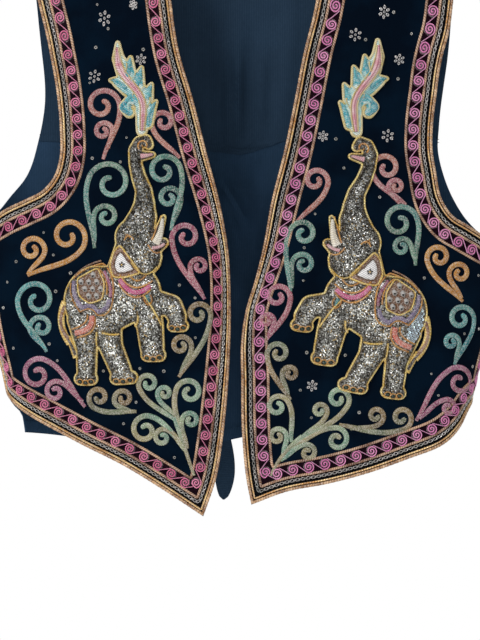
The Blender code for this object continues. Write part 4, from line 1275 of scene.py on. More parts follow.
def panel(rim, lines, step):
    """Flat points and faces inside a rim, with lines of points kept as edges."""
    field = hex_points(rim.min(axis=0), rim.max(axis=0), step)
    field = field[inside(field, rim)]
    field = field[edge_distance(field, rim) > 0.55 * step]
    for line in lines:
        field = field[edge_distance(field, line) > 0.45 * step]
    edges, start = [], len(rim)
    for line in lines:
        edges += [(start + i, start + (i + 1) % len(line)) for i in range(len(line))]
        start += len(line)
    points = [Vector(p) for p in np.concatenate([rim, *lines, field])]
    found, _, faces, _, _, _ = delaunay_2d_cdt(points, edges, [list(range(len(rim)))], 1, 1e-7)
    found = np.array(found)
    faces = np.array([tuple(face) for face in faces])
    first, second, third = (found[faces[:, k]] for k in range(3))
    ahead, aside = second - first, third - first
    backwards = ahead[:, 0] * aside[:, 1] - ahead[:, 1] * aside[:, 0] < 0
    faces[backwards] = faces[backwards][:, ::-1]
    return found, faces


def satin_pattern(flat, every):
    """Pattern coordinates of flat satin stitch: its lines cross the shape at a slant."""
    return np.concatenate([np.column_stack([flat[list(f)] @ [0.5, 0.86], np.full(len(f), PLAIN)]) for f in every])


# Cloth has its own colour in its material, and none in its thread layer
UNDYED = linear("#000000")


def wall(work, flat, faces, raised, under, slots, inner_slot, tint, satin=False):
    """A closed wall over flat faces: its outer side raised as given, its inner side plain."""
    count = len(flat)
    outer = np.column_stack([flat, raised])
    inner = np.column_stack([flat, np.full(count, under)])
    ends = np.concatenate([faces[:, [0, 1]], faces[:, [1, 2]], faces[:, [2, 0]]])
    known = {(int(a), int(b)) for a, b in ends}
    rim = [(a, b) for a, b in known if (b, a) not in known]
    sides = [(b, a, a + count, b + count) for a, b in rim]
    every = faces.tolist() + (faces[:, ::-1] + count).tolist() + sides
    marks = list(slots) + [inner_slot] * len(faces) + [slots[0]] * len(sides)
    places = np.concatenate([flat, flat])
    if satin:
        patterns = satin_pattern(places, every)
    else:
        patterns = np.concatenate([places[list(face)] for face in every])
    work.add(np.concatenate([outer, inner]), every, patterns, tint, marks)


def flat_rim(side):
    """The flat outline of one front, signed: points anticlockwise or clockwise, about 2.5 mm apart."""
    rim = thinned(closed_outline(side), FRONT_RIM_STEP, 20)
    return rim * [side.sign, 1]


def lay_flat(rim):
    """Works out a hanging sheet's flat size and area from its cut, and does nothing with them."""
    wide, long = np.ptp(rim, axis=0)
    abs(signed_area(rim))


def make_velvet_front(side, materials):
    """One front: velvet outside, lining inside, and the dark ribbon grounds under its border."""
    row = BORDERS[side.name]
    rim = flat_rim(side)
    marks = (row.ground, row.outer_line, row.band_outer, row.band_inner)
    flat, faces = panel(rim, [mitred(rim, distance, 0.003) for distance in marks], FRONT_STEP)
    deep = edge_distance(flat[faces].mean(axis=1), rim) * 1000
    slots = np.zeros(len(faces), int)
    slots[(deep > row.ground) & (deep < row.outer_line)] = 1
    slots[(deep > row.band_outer) & (deep < row.band_inner)] = 2
    work = Work()
    wall(work, flat, faces, np.zeros(len(flat)), -FRONT_THICKNESS, slots.tolist(), 3, UNDYED)
    made = work.piece("velvet_front_" + side.name, front_face(side), materials, 50)
    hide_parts("front_" + side.name)
    lay_flat(rim)
    return made


def make_edge_cords(side, material):
    """The tan cord sewn round a front, twisted of two strands, and the bright gold one inside it."""
    row = BORDERS[side.name]
    turn = bpy.context.scene.waistcoat_border.cord_turn
    rim = flat_rim(side)
    work = Work()
    rng = np.random.default_rng(11)
    line = mitred(rim, row.broad_cord, 0.0007)
    tints = tones_along("edge_tan", len(line), len(ROPE), rng, 1.0)
    work.band(line, *BROAD_CORD, tints, OFF_CLOTH, True, ROPE, lobes=2, pitch=turn)
    line = mitred(rim, row.bright_cord, 0.0015)
    tints = tones_along("edge_gold", len(line), len(STRAND), rng, 0.9)
    work.band(line, *BRIGHT_CORD, tints, OFF_CLOTH, True, STRAND)
    made = work.piece("edge_cord_" + side.name, front_face(side), [material])
    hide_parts("edge_braid_" + side.name)
    return made


def make_border_lines(side, material):
    """The two bronze cords that frame the rose band."""
    row = BORDERS[side.name]
    width = bpy.context.scene.waistcoat_border.line_width
    rng = np.random.default_rng(12)
    work = Work()
    for distance in (row.outer_line, row.inner_line):
        line = mitred(flat_rim(side), distance, 0.0014)
        tints = tones_along("bronze", len(line), len(DOME), rng, 1.0)
        work.band(line, width, width * 0.5, tints, OFF_CLOTH, True)
    return work.piece("border_lines_" + side.name, front_face(side), [material])


def make_chain(side, material):
    """The silver chain stitch between the edge cord and the rose band."""
    border = bpy.context.scene.waistcoat_border
    line = mitred(flat_rim(side), BORDERS[side.name].chain, border.link_pitch)
    ahead = np.roll(line, -1, axis=0)
    heading = np.arctan2(*(ahead - line).T[::-1])
    size = border.link_length * np.array([1, 0.72])
    link = form(chain_link)
    # Painted highlight and shade: each link is painted bright over its middle and dark towards its ends, and its
    # painted shine is brighter or duller at random from link to link
    lit = 2.9 - 4.9 * np.abs(link[0][:, :1])
    work = Work()
    rng = np.random.default_rng(13)
    for place, turn in zip((line + ahead) / 2, heading):
        shine = 0.6 + 0.6 * rng.random()
        tints = np.clip(tone("silver", rng.random())[None] * lit * shine, 0.02, 0.95)
        work.stamp(link, place, size, turn, ON_PAD, tints)
    return work.piece("chain_" + side.name, front_face(side), [material])


def band_frame(side):
    """Middle line of the rose band at half-millimetre steps, its lengths, and the way inwards from the edge."""
    row = BORDERS[side.name]
    rim = flat_rim(side)
    line = mitred(rim, row.roses, 0.0005)
    inwards = sideways(np.roll(line, -8, axis=0) - np.roll(line, 8, axis=0))
    test = line + 0.002 * inwards
    if inside(test, rim).mean() and edge_distance(test[:200], rim).mean() < row.roses / 1000:
        inwards = -inwards
    return closed(line), closed(inwards), reach_of(closed(line))


ROSE_PAD_COLOUR = linear("#3C0F2B")


def rose_route(radius, pitch):
    """One spiral and the tie to the next, along the band and inwards from its middle line."""
    share = np.linspace(0, 1, ROSE_POINTS)
    turn = 2 * np.pi * ROSE_TURNS * share - np.radians(60 + 0.95 * 360)
    curl = (radius * (0.10 + 0.82 * share))[:, None] * spokes(turn)
    far = np.array([pitch - 0.55 * radius, 0.80 * radius])
    tie = curl[-1] + (far - curl[-1]) * np.linspace(0, 1, ROSE_TIE_POINTS + 1)[1:, None]
    return np.concatenate([curl, tie])


def rose_pad(radius):
    """Points and faces of the soft round pad below one spiral."""
    rim = spokes(2 * np.pi * np.arange(PAD_SIDES) / PAD_SIDES) * radius * 0.93
    out = np.concatenate([np.zeros(PAD_SIDES), np.full(PAD_SIDES, ON_PAD), [ON_PAD + 0.0001]])
    steps = [(k, (k + 1) % PAD_SIDES) for k in range(PAD_SIDES)]
    faces = [(a, b, PAD_SIDES + b, PAD_SIDES + a) for a, b in steps]
    faces += [(PAD_SIDES + a, PAD_SIDES + b, 2 * PAD_SIDES) for a, b in steps]
    return np.concatenate([rim, rim * 0.55, [[0, 0]]]), out, faces + [tuple(range(PAD_SIDES - 1, -1, -1))]


def make_roses(side, material):
    """Running spirals of rose thread in the border, each on a soft round pad and tied to the next."""
    row = BORDERS[side.name]
    line, inwards, reach = band_frame(side)
    count = round(reach[-1] / bpy.context.scene.waistcoat_border.rose_pitch)
    pitch = reach[-1] / count
    radius = (row.band_inner - row.band_outer) / 2000 + 0.0001

    def place(points):
        along = np.mod(points[:, 0], reach[-1])
        middle, way = (
            np.stack([np.interp(along, reach, rows[:, k]) for k in range(2)], axis=1) for rows in (line, inwards)
        )
        return middle + points[:, 1:] * way

    work = Work()
    rng = np.random.default_rng(14)
    route = rose_route(radius, pitch)
    pad, out, faces = rose_pad(radius)
    widths = np.repeat([ROSE_THREAD.width, ROSE_TIE_WIDTH], [ROSE_POINTS, ROSE_TIE_POINTS])
    dye = ROSE_DYES[side.name]
    tail = tone(dye, 1.0) * [0.75, 0.85, 0.8]
    for number in range(count):
        start = np.array([number * pitch, 0])
        head = tone(dye, 0.3 + 0.6 * rng.random())
        runs = [ROSE_POINTS * len(STRAND), ROSE_TIE_POINTS * len(STRAND)]
        tints = np.repeat([head, tail], runs, axis=0)
        work.band(place(start + route), widths, ROSE_THREAD.height, tints, ON_PAD, ring=STRAND)
        flat = place(start + pad)
        if signed_area(flat[:PAD_SIDES]) < 0:
            for ring in (slice(0, PAD_SIDES), slice(PAD_SIDES, 2 * PAD_SIDES)):
                flat[ring] = flat[ring][::-1].copy()
        shade = ROSE_PAD_COLOUR * (0.6 + 0.6 * rng.random())
        work.add(np.column_stack([flat, out]), faces, plain_pattern(faces), shade)
    return work.piece("rose_spirals_" + side.name, front_face(side), [material])


def variegated(dye, line, rng):
    """Colour of a space-dyed thread: it drifts into its partner's colour and back every 9 cm."""
    reach = reach_of(line) + DYE_REPEAT * rng.random()
    share = np.repeat(0.45 * (0.5 - 0.5 * np.cos(2 * np.pi * reach / DYE_REPEAT)), len(DOME))[:, None]
    own = tones_along(dye, len(line), len(DOME), rng, 0.7)
    partner = tones_along(PARTNERS[dye], len(line), len(DOME), rng, 0.7)
    return own * (1 - share) + partner * share


def make_scrolls(side, material):
    """The couched hooks and stems that fill the velvet round the elephant."""
    sewn = bpy.context.scene.waistcoat_embroidery
    work = Work()
    rng = np.random.default_rng(15)
    for hook in SCROLLS[side.name]:
        line = evenly(on_cloth(side, hook_line(hook)), 0.0013)
        share = np.linspace(0, 1, len(line))
        small = 0.80 + 0.20 * min(1, hook.reach / 12)
        # The thread swells from its foot, and ends in a short round
        widths = sewn.stroke_width * small * np.clip(0.62 + 2.4 * share, 0, 1)
        widths = widths * np.sqrt(np.clip(1.0 - ((share - 0.985) / 0.015).clip(0, 1) ** 2, 0.15, 1))
        heights = sewn.stroke_height * np.clip(0.55 + 3 * share, 0, 1)
        tints = variegated(hook.thread, line, rng)
        work.band(line, widths, heights, tints, lift=0.0002 * rng.random())
    for stem in STEMS[side.name]:
        foot, fork = (stem.across, stem.height), (stem.to_across, stem.to_height)
        line = evenly(on_cloth(side, curved(foot, (stem.mid_across, stem.mid_height), fork, 30)), 0.0013)
        widths = sewn.stroke_width * np.linspace(0.55, 0.95, len(line))
        work.band(line, widths, sewn.stroke_height * 1.1, variegated(stem.thread, line, rng))
    return work.piece("scrolls_" + side.name, front_face(side), [material])


def put(motif, side, local):
    """Flat points of a motif's own millimetres on a front."""
    local = np.asarray(local, float)
    leant = turned(local[:, :2] * [motif.wide, motif.tall], np.radians(motif.turn_degrees)) / 1000
    return np.stack([side.sign * (motif.across - leant[:, 0]), motif.height + leant[:, 1]], axis=1)


# How sharply the domes of neighbouring limbs part: higher is sharper
BLEND = 2.2


def swell(points, limbs, full):
    """Height of the padding, in millimetres: each limb a round dome, the domes blended where they meet."""
    total = np.zeros(len(points))
    for limb in limbs:
        start, end = ends_of(limb)
        run = end - start
        t = np.clip(((points - start) @ run) / (run @ run), 0, 1)
        radius = limb.radius + (limb.to_radius - limb.radius) * t
        off = np.linalg.norm(points - start - t[:, None] * run, axis=1)
        crown = full * np.clip(radius / 15, 0.35, 1.0) ** 0.6
        dome = crown * np.sqrt(np.clip(1 - (off / radius) ** 2, 0, 1))
        total += np.where(dome > 0, np.exp(BLEND * dome) - 1, 0)
    return np.log(1 + total) / BLEND


class Padding:
    """A stuffed motif on one front: its outline and the height of its stuffing, in its own millimetres."""

    def __init__(self, name, motif, side, full, edge, step, material, tint, seams=()):
        """Makes the stuffed shape, with a rounded edge and drawn in along its seams."""
        self.motif, self.side = motif, side
        self.outline = motif_outline(motif, 1.3)
        self.points, faces = panel(self.outline, [], step)
        rounding = np.clip(edge_distance(self.points, self.outline) / 1.2, 0, 1)
        self.heights = edge * rounding + swell(self.points, motif.limbs, full)
        for seam in seams:
            off = line_distance(self.points, stroke_line(seam, 24))
            self.heights *= 1 - 0.45 * np.exp(-((off / 2.6) ** 2))
        if callable(tint):
            tint = np.tile(tint(self.points), (2, 1))
        work = Work()
        out = 0.0003 + self.heights / 1000
        wall(work, self.put(self.points), self.outwards(faces), out, 0.0001, [0] * len(faces), 0, tint, True)
        made = work.piece(name, front_face(side), [material], 75)

    def put(self, local):
        return put(self.motif, self.side, local)

    def outwards(self, faces):
        return faces[:, ::-1] if self.side.sign > 0 else faces

    def over(self, points, outside=None):
        """Height of the padding under points, from its nearest few; beyond the outline, the height given."""
        found = []
        for start in range(0, len(points), BATCH // 6):
            gap = np.linalg.norm(points[start : start + BATCH // 6, None] - self.points[None], axis=2)
            near = np.argsort(gap, axis=1)[:, :3]
            weight = 1 / (np.take_along_axis(gap, near, axis=1) + 0.05)
            found.append((self.heights[near] * weight).sum(axis=1) / weight.sum(axis=1))
        found = np.concatenate(found)
        return found if outside is None else np.where(inside(points, self.outline), found, outside)

    def band(self, work, line, widths, deep, tint, base, above, around=False, slot=0):
        """A thread laid over the padding; widths and heights in millimetres."""
        work.band(self.put(line), widths / 1000, deep / 1000, tint, around=around, slot=slot)
        work.points[-1][:, 2] += np.repeat(np.broadcast_to(base + above, len(line)), len(DOME)) / 1000

    def stamp(self, work, shape, point, size, turn, above, tint, slot, shift=(0, 0)):
        """A small form over the padding at one point of the motif."""
        point = np.reshape(np.asarray(point, float), (1, 2))
        lift = (self.over(point)[0] + above) / 1000
        work.stamp(shape, self.put(point)[0] + shift, size, turn, lift, tint, slot=slot)

    def patch(self, work, ring, thick, tint):
        """A thin patch of cloth that lies on the padding."""
        points, faces = panel(ring, [], 2.0)
        deep = np.clip(edge_distance(points, ring) / 1.5, 0, 1)
        raised = 0.0003 + (self.over(points) + thick * (0.4 + 0.6 * deep)) / 1000
        flat, every = self.put(points), self.outwards(faces).tolist()
        work.add(np.column_stack([flat, raised]), every, satin_pattern(flat, every), tint)


# Reach over which the padding's slope is measured, in millimetres
SLOPE_STEP = 0.8


def make_sequins(pad, material, name):
    """Overlapping sequins over the elephant's hide, in staggered rows, bare where other work lies."""
    side, outline = pad.side, pad.outline
    size = bpy.context.scene.waistcoat_embroidery.sequin_size
    field = hex_points(outline.min(axis=0), outline.max(axis=0), size * 1000 * SEQUIN_SPACING)
    rng = np.random.default_rng(16)
    field = field + rng.normal(0, SEQUIN_SCATTER, field.shape)
    field = field[inside(field, outline)]
    field = field[edge_distance(field, outline) > SEQUIN_RIM]
    for bare in (EAR, SADDLE, HIPS[side.name]):
        if bare:
            field = field[~inside(field, np.array(bare, float))]
    # Painted shade near the padding's outline, where it turns away, and painted highlight over its middle
    rim_shade = np.interp(edge_distance(field, outline), [1.5, 7], [0.45, 1.25])
    lift = pad.over(field)
    ahead = pad.over(field + [SLOPE_STEP, 0]) - lift
    above = pad.over(field + [0, SLOPE_STEP]) - lift
    palette = [linear(shade.colour) for shade in SEQUIN_SHADES_AND_GLINTS]
    odds = [shade.share for shade in SEQUIN_SHADES_AND_GLINTS]
    disc = form(sequin)
    work = Work()
    for place, z, rise_x, rise_y, own, edge in zip(pad.put(field), lift, ahead, above, field, rim_shade):
        shade = palette[rng.choice(len(palette), p=odds)] * (0.85 + 0.3 * rng.random()) * edge
        # The hide darkens up the trunk, and lightens and darkens in slow waves of painted highlight and shade that
        # stand in for the light on its bulges
        shade = shade * np.interp(own[1], [25, 60, 100], [0.86, 0.62, 0.50])
        shade = shade * (1 + 0.5 * np.sin(own[0] * 0.23 + 1.3) * np.sin(own[1] * 0.19 + own[0] * 0.11))
        slope = (
            side.sign * -rise_x / SLOPE_STEP + rng.normal(0, SEQUIN_TILT),
            rise_y / SLOPE_STEP + rng.normal(0, SEQUIN_TILT),
        )
        lifted = 0.0003 + z / 1000 + 0.0001 + 0.0003 * rng.random()
        work.stamp(disc, place, size, rng.random() * np.pi, lifted, shade, slope)
    return work.piece(name, front_face(side), [material], 20)


# Material slots of the elephant's trimmings
FLOSS, GOLD, JEWEL, SEQUINS = range(4)

# Distance between the pearls of the saddle's quilting, in millimetres
QUILT_STEP = 7.4


def sew_trimmings(work, pad, rng):
    """The elephant's ear and saddle cloth, with their rims, stones, pearls and quilting."""
    ear, saddle = polygon_round(EAR, 40), polygon_round(SADDLE, 44)
    core = ear.mean(axis=0)
    inner_ear = core + (ear - core) * 0.66
    pad.patch(work, ear, 1.2, tone("bronze", 0.1))
    pad.patch(work, inner_ear, 2.0, tone("pearl", 0.8))
    pad.patch(work, saddle, 0.9, tone("umber", 0.9))
    for ring, width, dye in ((ear, 2.0, "seam"), (inner_ear, 1.3, "umber"), (saddle, 1.7, "seam")):
        line = closed_steps(ring, 1.1)
        tints = tones_along(dye, len(line), len(DOME), rng, 0.6)
        pad.band(work, line, width, 1.8, tints, pad.over(line), 0.9, True, GOLD)
    stone = form(bead)
    # Five dark stones round a gold one on the ear
    for k in range(6):
        turn = 2 * np.pi * k / 5 + 0.3
        place = core + [-0.6, -0.6] + (0 if k == 5 else 1.9) * spokes(turn)
        tint = linear("#C9A24A" if k == 5 else "#2C2118")
        pad.stamp(work, stone, place, (0.0023, 0.0019), turn, 2.5, tint, JEWEL)
    lattice = hex_points(saddle.min(axis=0), saddle.max(axis=0), QUILT_STEP)
    lattice = lattice[inside(lattice, saddle)]
    for place in lattice[edge_distance(lattice, saddle) > 2.0]:
        pad.stamp(work, stone, place, (0.0056, 0.0070), 0.3, 1.4, linear("#CFD2D0"), FLOSS)
        pad.stamp(work, stone, place, 0.0026, 0.3, 3.2, linear("#1A1512"), JEWEL, (0, -0.0008))
    for slant in (-1, 1):
        for number in range(-6, 7):
            middle = saddle.mean(axis=0) + [number * QUILT_STEP, QUILT_STEP / 2]
            run = np.linspace(-22, 22, 60)[:, None] * [0.5 * slant, 0.866] + middle
            run = run[inside(run, saddle)]
            if len(run) > 8:
                pad.band(work, run, 1.3, 1.3, tone("bronze", 0.2), pad.over(run), 1.0)
    corners = HIPS[pad.side.name]
    if corners:
        hip = hex_points(np.min(corners, axis=0), np.max(corners, axis=0), 3.0)
        for place in hip[inside(hip, polygon_round(corners, 40)) & inside(hip, pad.outline)]:
            shade = linear("#D3E4EE") * (0.5 + 0.9 * rng.random())
            pad.stamp(work, form(bead_ring), place, 0.0028, rng.random(), 0.4, shade, SEQUINS)


def sew_lines(work, pad, rng):
    """The elephant's strokes of thread, its gold outline and the curl at its trunk's tip."""
    for stroke in ELEPHANT_STROKES:
        line = evenly(stroke_line(stroke, 40), 1.1)
        widths = np.linspace(stroke.width, stroke.to_width, len(line))
        deep = 2.8 if stroke.part in ("cream", "blush", "bronze", "tuft") else 1.9
        tints = tones_along(stroke.part, len(line), len(DOME), rng, 0.6)
        slot = GOLD if stroke.part in ("gold", "seam") else FLOSS
        pad.band(work, line, widths, deep, tints, pad.over(line, 0.3), 0.5, slot=slot)
    line = closed_steps(pad.outline, 0.9)
    tints = tones_along("seam", len(line), len(DOME), rng, 0.9)
    pad.band(work, line, 2.2, 2.4, tints, 0.9, -0.2, True, GOLD)
    turn = np.linspace(0, 2.3 * np.pi, 30) + 2.4
    curl = [17.5, 151.5] + np.linspace(5.4, 1.0, 30)[:, None] * spokes(turn) * [1, -1]
    tints = tones_along("gold", len(curl), len(DOME), rng, 0.7)
    pad.band(work, curl, 1.7, 1.7, tints, pad.over(curl, 0.5), 0.5, slot=GOLD)


def make_elephant(motif, side, materials):
    """The padded elephant with its sequins, gold outline, ear, saddle cloth, collar, tusk and toenails."""
    sewn = bpy.context.scene.waistcoat_embroidery
    floss, gold, sequins, jewel = materials
    seams = [stroke for stroke in ELEPHANT_STROKES if stroke.part == "seam"]
    full, hide = sewn.elephant_pad * 1000, linear("#3E372C")
    pad = Padding("elephant_body_" + side.name, motif, side, full, 1.0, 1.9, floss, hide, seams)
    make_sequins(pad, sequins, "elephant_sequins_" + side.name)
    rng = np.random.default_rng(17)
    work = Work()
    sew_trimmings(work, pad, rng)
    sew_lines(work, pad, rng)
    for nail in TOENAILS:
        middle = np.array([nail.along, nail.up])
        line = closed(middle + spokes(2 * np.pi * np.arange(14) / 14) * [2.8, 2.3])
        base = np.maximum(pad.over(line), 1.2)
        pad.band(work, line, 1.1, 1.4, tone("gold", 0.6), base, 0.7, slot=GOLD)
        lift = (base.mean() + 0.5) / 1000
        work.stamp(form(bead), pad.put([middle])[0], (0.0050, 0.0042), 0, lift, linear("#223A30"), slot=JEWEL)
    pad.stamp(work, form(bead), (4.5, 65), (0.0042, 0.0026), 0.2, 0.7, linear("#120E0A"), JEWEL)
    lid = curved((0, 64), (4.5, 68), (9, 64.5), 14)
    pad.band(work, lid, 1.2, 1.2, tone("gold", 0.6), pad.over(lid), 0.8, slot=GOLD)
    return work.piece("elephant_trim_" + side.name, front_face(side), [floss, gold, jewel, sequins])


def plume_tints(local):
    """Colour of the plume's satin stitch: pale beside the midrib, then aqua, and teal out in the lobes."""
    off = line_distance(local, evenly(np.array(MIDRIB, float), 1.0))
    share = np.clip((off - 3.6) / 4.2, 0, 1)[:, None]
    share = np.clip(share + 0.30 * np.sin(local[:, 1:] * 0.9 + local[:, :1] * 0.6), 0, 1)
    pale, aqua, teal = tone("aqua", 1.0), tone("aqua", 0.2), tone("plume_teal", 0.15)
    return np.where(share < 0.4, pale + (aqua - pale) * share / 0.4, aqua + (teal - aqua) * (share - 0.4) / 0.6)


def make_plume(motif, side, material):
    """The padded leaf plume: satin stitch from pale to teal, a rose midrib and a pale gold outline."""
    full = bpy.context.scene.waistcoat_embroidery.plume_pad * 1000
    pad = Padding("plume_body_" + side.name, motif, side, full, 0.9, 1.2, material, plume_tints)
    rng = np.random.default_rng(18)
    work = Work()
    rib = evenly(np.array(MIDRIB, float), 4.0)
    for _ in range(3):
        rib[1:-1] = 0.5 * rib[1:-1] + 0.25 * (rib[:-2] + rib[2:])
    rib = evenly(rib, 0.9)
    wide = np.interp(np.linspace(0, 1, len(rib)), [0, 0.15, 0.55, 0.8, 1], [3.0, 4.6, 5.6, 6.6, 1.8])
    beside = (wide[:, None] / 2 + 0.4) * sideways(np.gradient(rib, axis=0))
    lines = [(rib, wide, "blush", 2.2), (rib, 1.1, "pink", 2.8)]
    lines += [(rib + way * beside, 1.5, "pale_gold", 2.3) for way in (-1, 1)]
    for line, widths, dye, deep in lines:
        tints = tones_along(dye, len(line), len(DOME), rng, 0.7)
        pad.band(work, line, widths, deep, tints, pad.over(line, 0.4), -0.2)
    for stroke in PLUME_STROKES:
        line = evenly(stroke_line(stroke, 30), 0.9)
        widths = np.linspace(stroke.width, stroke.to_width, len(line))
        tints = tones_along(stroke.part, len(line), len(DOME), rng, 0.6)
        pad.band(work, line, widths, 1.8, tints, pad.over(line, 0.2), -0.1)
    line = closed_steps(pad.outline, 0.9)
    tints = tones_along("pale_gold", len(line), len(DOME), rng, 0.8)
    pad.band(work, line, 2.6, 2.3, tints, 0.8, -0.2, True)
    return work.piece("plume_trim_" + side.name, front_face(side), [material])


def make_rosettes(side, material):
    """Small flowers of ring beads, and single beads scattered between the scrolls."""
    work = Work()
    ring = form(bead_ring)
    rng = np.random.default_rng(19 + side.sign)
    for spot in ROSETTES[side.name]:
        middle = on_cloth(side, [(spot.across, spot.height)])[0]
        for k in range(7):
            turn = 2 * np.pi * k / 6 + 0.4
            off, size = (0, EYE_SIZE) if k == 6 else (spot.size / 1000 * spokes(turn), PETAL_SIZE)
            work.stamp(ring, middle + off, size, turn, 0.0006, tone("pearl", rng.random()))
    taken = np.concatenate([on_cloth(side, hook_line(hook)[::3]) for hook in SCROLLS[side.name]])
    rim = flat_rim(side)
    low, high = rim.min(axis=0), rim.max(axis=0)
    field = low + (high - low) * rng.random((500, 2))
    field = field[inside(field, rim)]
    field = field[edge_distance(field, rim) > BORDERS[side.name].inner_line / 1000 + CLEAR_OF_THREAD]
    for motif in MOTIFS[side.name]:
        outline = put(motif, side, motif_outline(motif, 2.0))
        field = field[~inside(field, outline)]
        field = field[edge_distance(field, outline) > CLEAR_OF_PADDING]
    field = field[line_distance(field, taken) > CLEAR_OF_THREAD]
    set_down = []
    for point in field:
        if min((np.linalg.norm(point - other) for other in set_down), default=1) > BEADS_APART:
            set_down.append(point)
    for point in set_down[:SINGLE_BEADS]:
        shade = tone("silver", 0.2 + 0.6 * rng.random())
        work.stamp(ring, point, 0.0022 + 0.0012 * rng.random(), rng.random() * 3, 0.0005, shade)
    return work.piece("beads_" + side.name, front_face(side), [material])


def back_rims():
    """The closed flat outlines of the back's two pieces; across is positive on the wearer's right."""
    neck_up, halves = back_halves()
    parted = {}
    for side in SIDES:
        armhole, seam = halves[side.name]
        end = side.sign * np.interp(-CROSS_SEAM[0].height, -armhole[:, 1], armhole[:, 0])
        parted[side.name] = (*cut_at(armhole, float(height_on(CROSS_SEAM, end))), seam)
    left_arm, left_under, left_seam = (line * [-1, 1] for line in parted["left"])
    right_arm, right_under, right_seam = parted["right"]
    neck = np.linspace(-NECK_POINT, NECK_POINT, 61)
    dip = neck_up - BACK_NECK_DIP * np.clip(1 - (neck / NECK_POINT) ** 2, 0, 1) ** 0.8
    tip = [(SHOULDER_TIP, neck_up - SHOULDER_DROP)]
    top = np.concatenate([tip * np.array([-1, 1]), np.stack([neck, dip], axis=1), tip])
    across = np.linspace(left_arm[-1, 0], right_arm[-1, 0], 130)
    seam_line = np.stack([across, height_on(CROSS_SEAM, across)], axis=1)
    half_gap = np.array([0, SEAM_GAP / 2])
    upper = np.concatenate(
        [spread(top, 150)[:-1], right_arm[:-1], (seam_line + half_gap)[::-1][:-1], left_arm[::-1][:-1]]
    )
    hem_across = np.linspace(left_seam[-1, 0], right_seam[-1, 0], 130)
    hem = np.stack([hem_across, height_on(BACK_HEM, hem_across)], axis=1)
    right = np.concatenate([right_under, right_seam[1:]])
    left = np.concatenate([left_under, left_seam[1:]])
    lower = np.concatenate([(seam_line - half_gap)[:-1], right[:-1], hem[::-1][:-1], left[::-1][:-1]])
    return upper, lower, seam_line, hem


def creased_back(across, up):
    """The back as worn: its main folds, and the small gathers and wrinkles that hang from the cross seam."""
    base = back_face(across, up)
    base[:, 1] -= fold_drop(across, up, FINE_FOLDS)
    return base


def make_back(yoke_cloth, panel_cloth):
    """The back's yoke and lower piece, with the turned seam and hem that show inside."""
    upper, lower, seam_line, hem = back_rims()
    # Name, node, outline, cloth, and the turning's middle line, width and thickness
    cuts = (
        ("back_yoke", "back_upper", upper, yoke_cloth, seam_line + [0, 0.0028], 0.0068, -0.0007),
        ("back_panel", "back_lower", lower, panel_cloth, hem + [0, 0.0060], 0.0100, -0.0006),
    )
    for name, node, rim, material, turning, width, thick in cuts:
        rim = thinned(rim, BACK_RIM_STEP, 20)
        flat, faces = panel(rim, [], BACK_STEP)
        work = Work()
        wall(work, flat, faces, np.zeros(len(flat)), -BACK_THICKNESS, [0] * len(faces), 0, UNDYED)
        work.band(evenly(turning, 0.004), width, thick, UNDYED, -BACK_THICKNESS, ring=TAPE[::-1])
        made = work.piece(name, creased_back, [material], 50)
        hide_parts(node)
        lay_flat(rim)


def make_tie(name, node, centre, widths, material):
    """A flat strap of doubled lining cloth."""
    work = Work()
    work.band(centre, widths, TIE_THICKNESS, UNDYED, LAID_ON, ring=TAPE)
    made = work.piece(name, taut_back, [material], 50)
    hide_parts(node)
    return made


def make_ties(material):
    """Two straps from the side seams to the knot, and the two hanging ends."""
    for side in SIDES:
        seam = float(seam_across(TIE_HEIGHT, 180 - side.seam.degrees, BACK_CROWN)) - 0.002
        stops = np.linspace(-side.sign * seam, KNOT_ACROSS - side.sign * SEAM_GAP, 70)
        if side.sign < 0:
            stops = stops[::-1]
        centre = np.stack([stops, np.full(len(stops), TIE_HEIGHT)], axis=1)
        near = np.abs(stops - KNOT_ACROSS)
        widths = TIE_WIDTH * (0.72 + 0.28 * np.clip(near / 0.03, 0, 1))
        make_tie("tie_strap_" + side.name, "tie_" + side.name, centre, widths, material)
    for name, route in TIE_ENDS.items():
        centre = through(route, 0.003)
        point = np.clip(np.linspace(1, 0, len(centre)) / TIE_POINT, 0, 1)
        down = np.linspace(0, 1, len(centre))
        leaf = 0.70 + 0.30 * np.exp(-(((down - 0.76) / 0.20) ** 2))
        widths = TIE_WIDTH * leaf * (0.10 + 0.90 * np.sqrt(1 - (1 - point) ** 2))
        make_tie("tie_tail_" + name, "tie_end_" + name, centre, widths, material)


def make_knot(material):
    """The tied knot: a ball drawn flat, nipped in round its middle and wrinkled."""
    low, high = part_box("tie_knot")
    middle, size = (low + high) / 2, high - low
    bpy.ops.object.select_all(action="DESELECT")
    bpy.ops.mesh.primitive_uv_sphere_add(segments=40, ring_count=24, radius=0.5)
    made = bpy.context.object
    made.name = made.data.name = "knot_of_ties"
    bpy.ops.object.mode_set(mode="EDIT")
    bpy.ops.mesh.select_all(action="SELECT")
    bpy.ops.transform.resize(value=tuple(size))
    bpy.ops.object.mode_set(mode="OBJECT")
    for vertex in made.data.vertices:
        x, y, z = vertex.co
        nip = 1 - 0.22 * np.exp(-((x / (0.16 * size.x)) ** 2))
        crease = 0.0005 * np.sin(z / size.z * 22 + 3 * x / size.x)
        vertex.co = Vector((x, y * nip, z * nip)) * (1 + crease / 0.012) + middle
    made.data.materials.append(material)
    made.data.shade_smooth()
    layer = made.data.uv_layers.active
    layer.name = "cloth"
    places = np.array([made.data.vertices[loop.vertex_index].co[:] for loop in made.data.loops])
    layer.data.foreach_set("uv", places[:, [0, 2]].astype(np.float32).ravel())
    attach(made, "root")
    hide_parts("tie_knot")
    return made


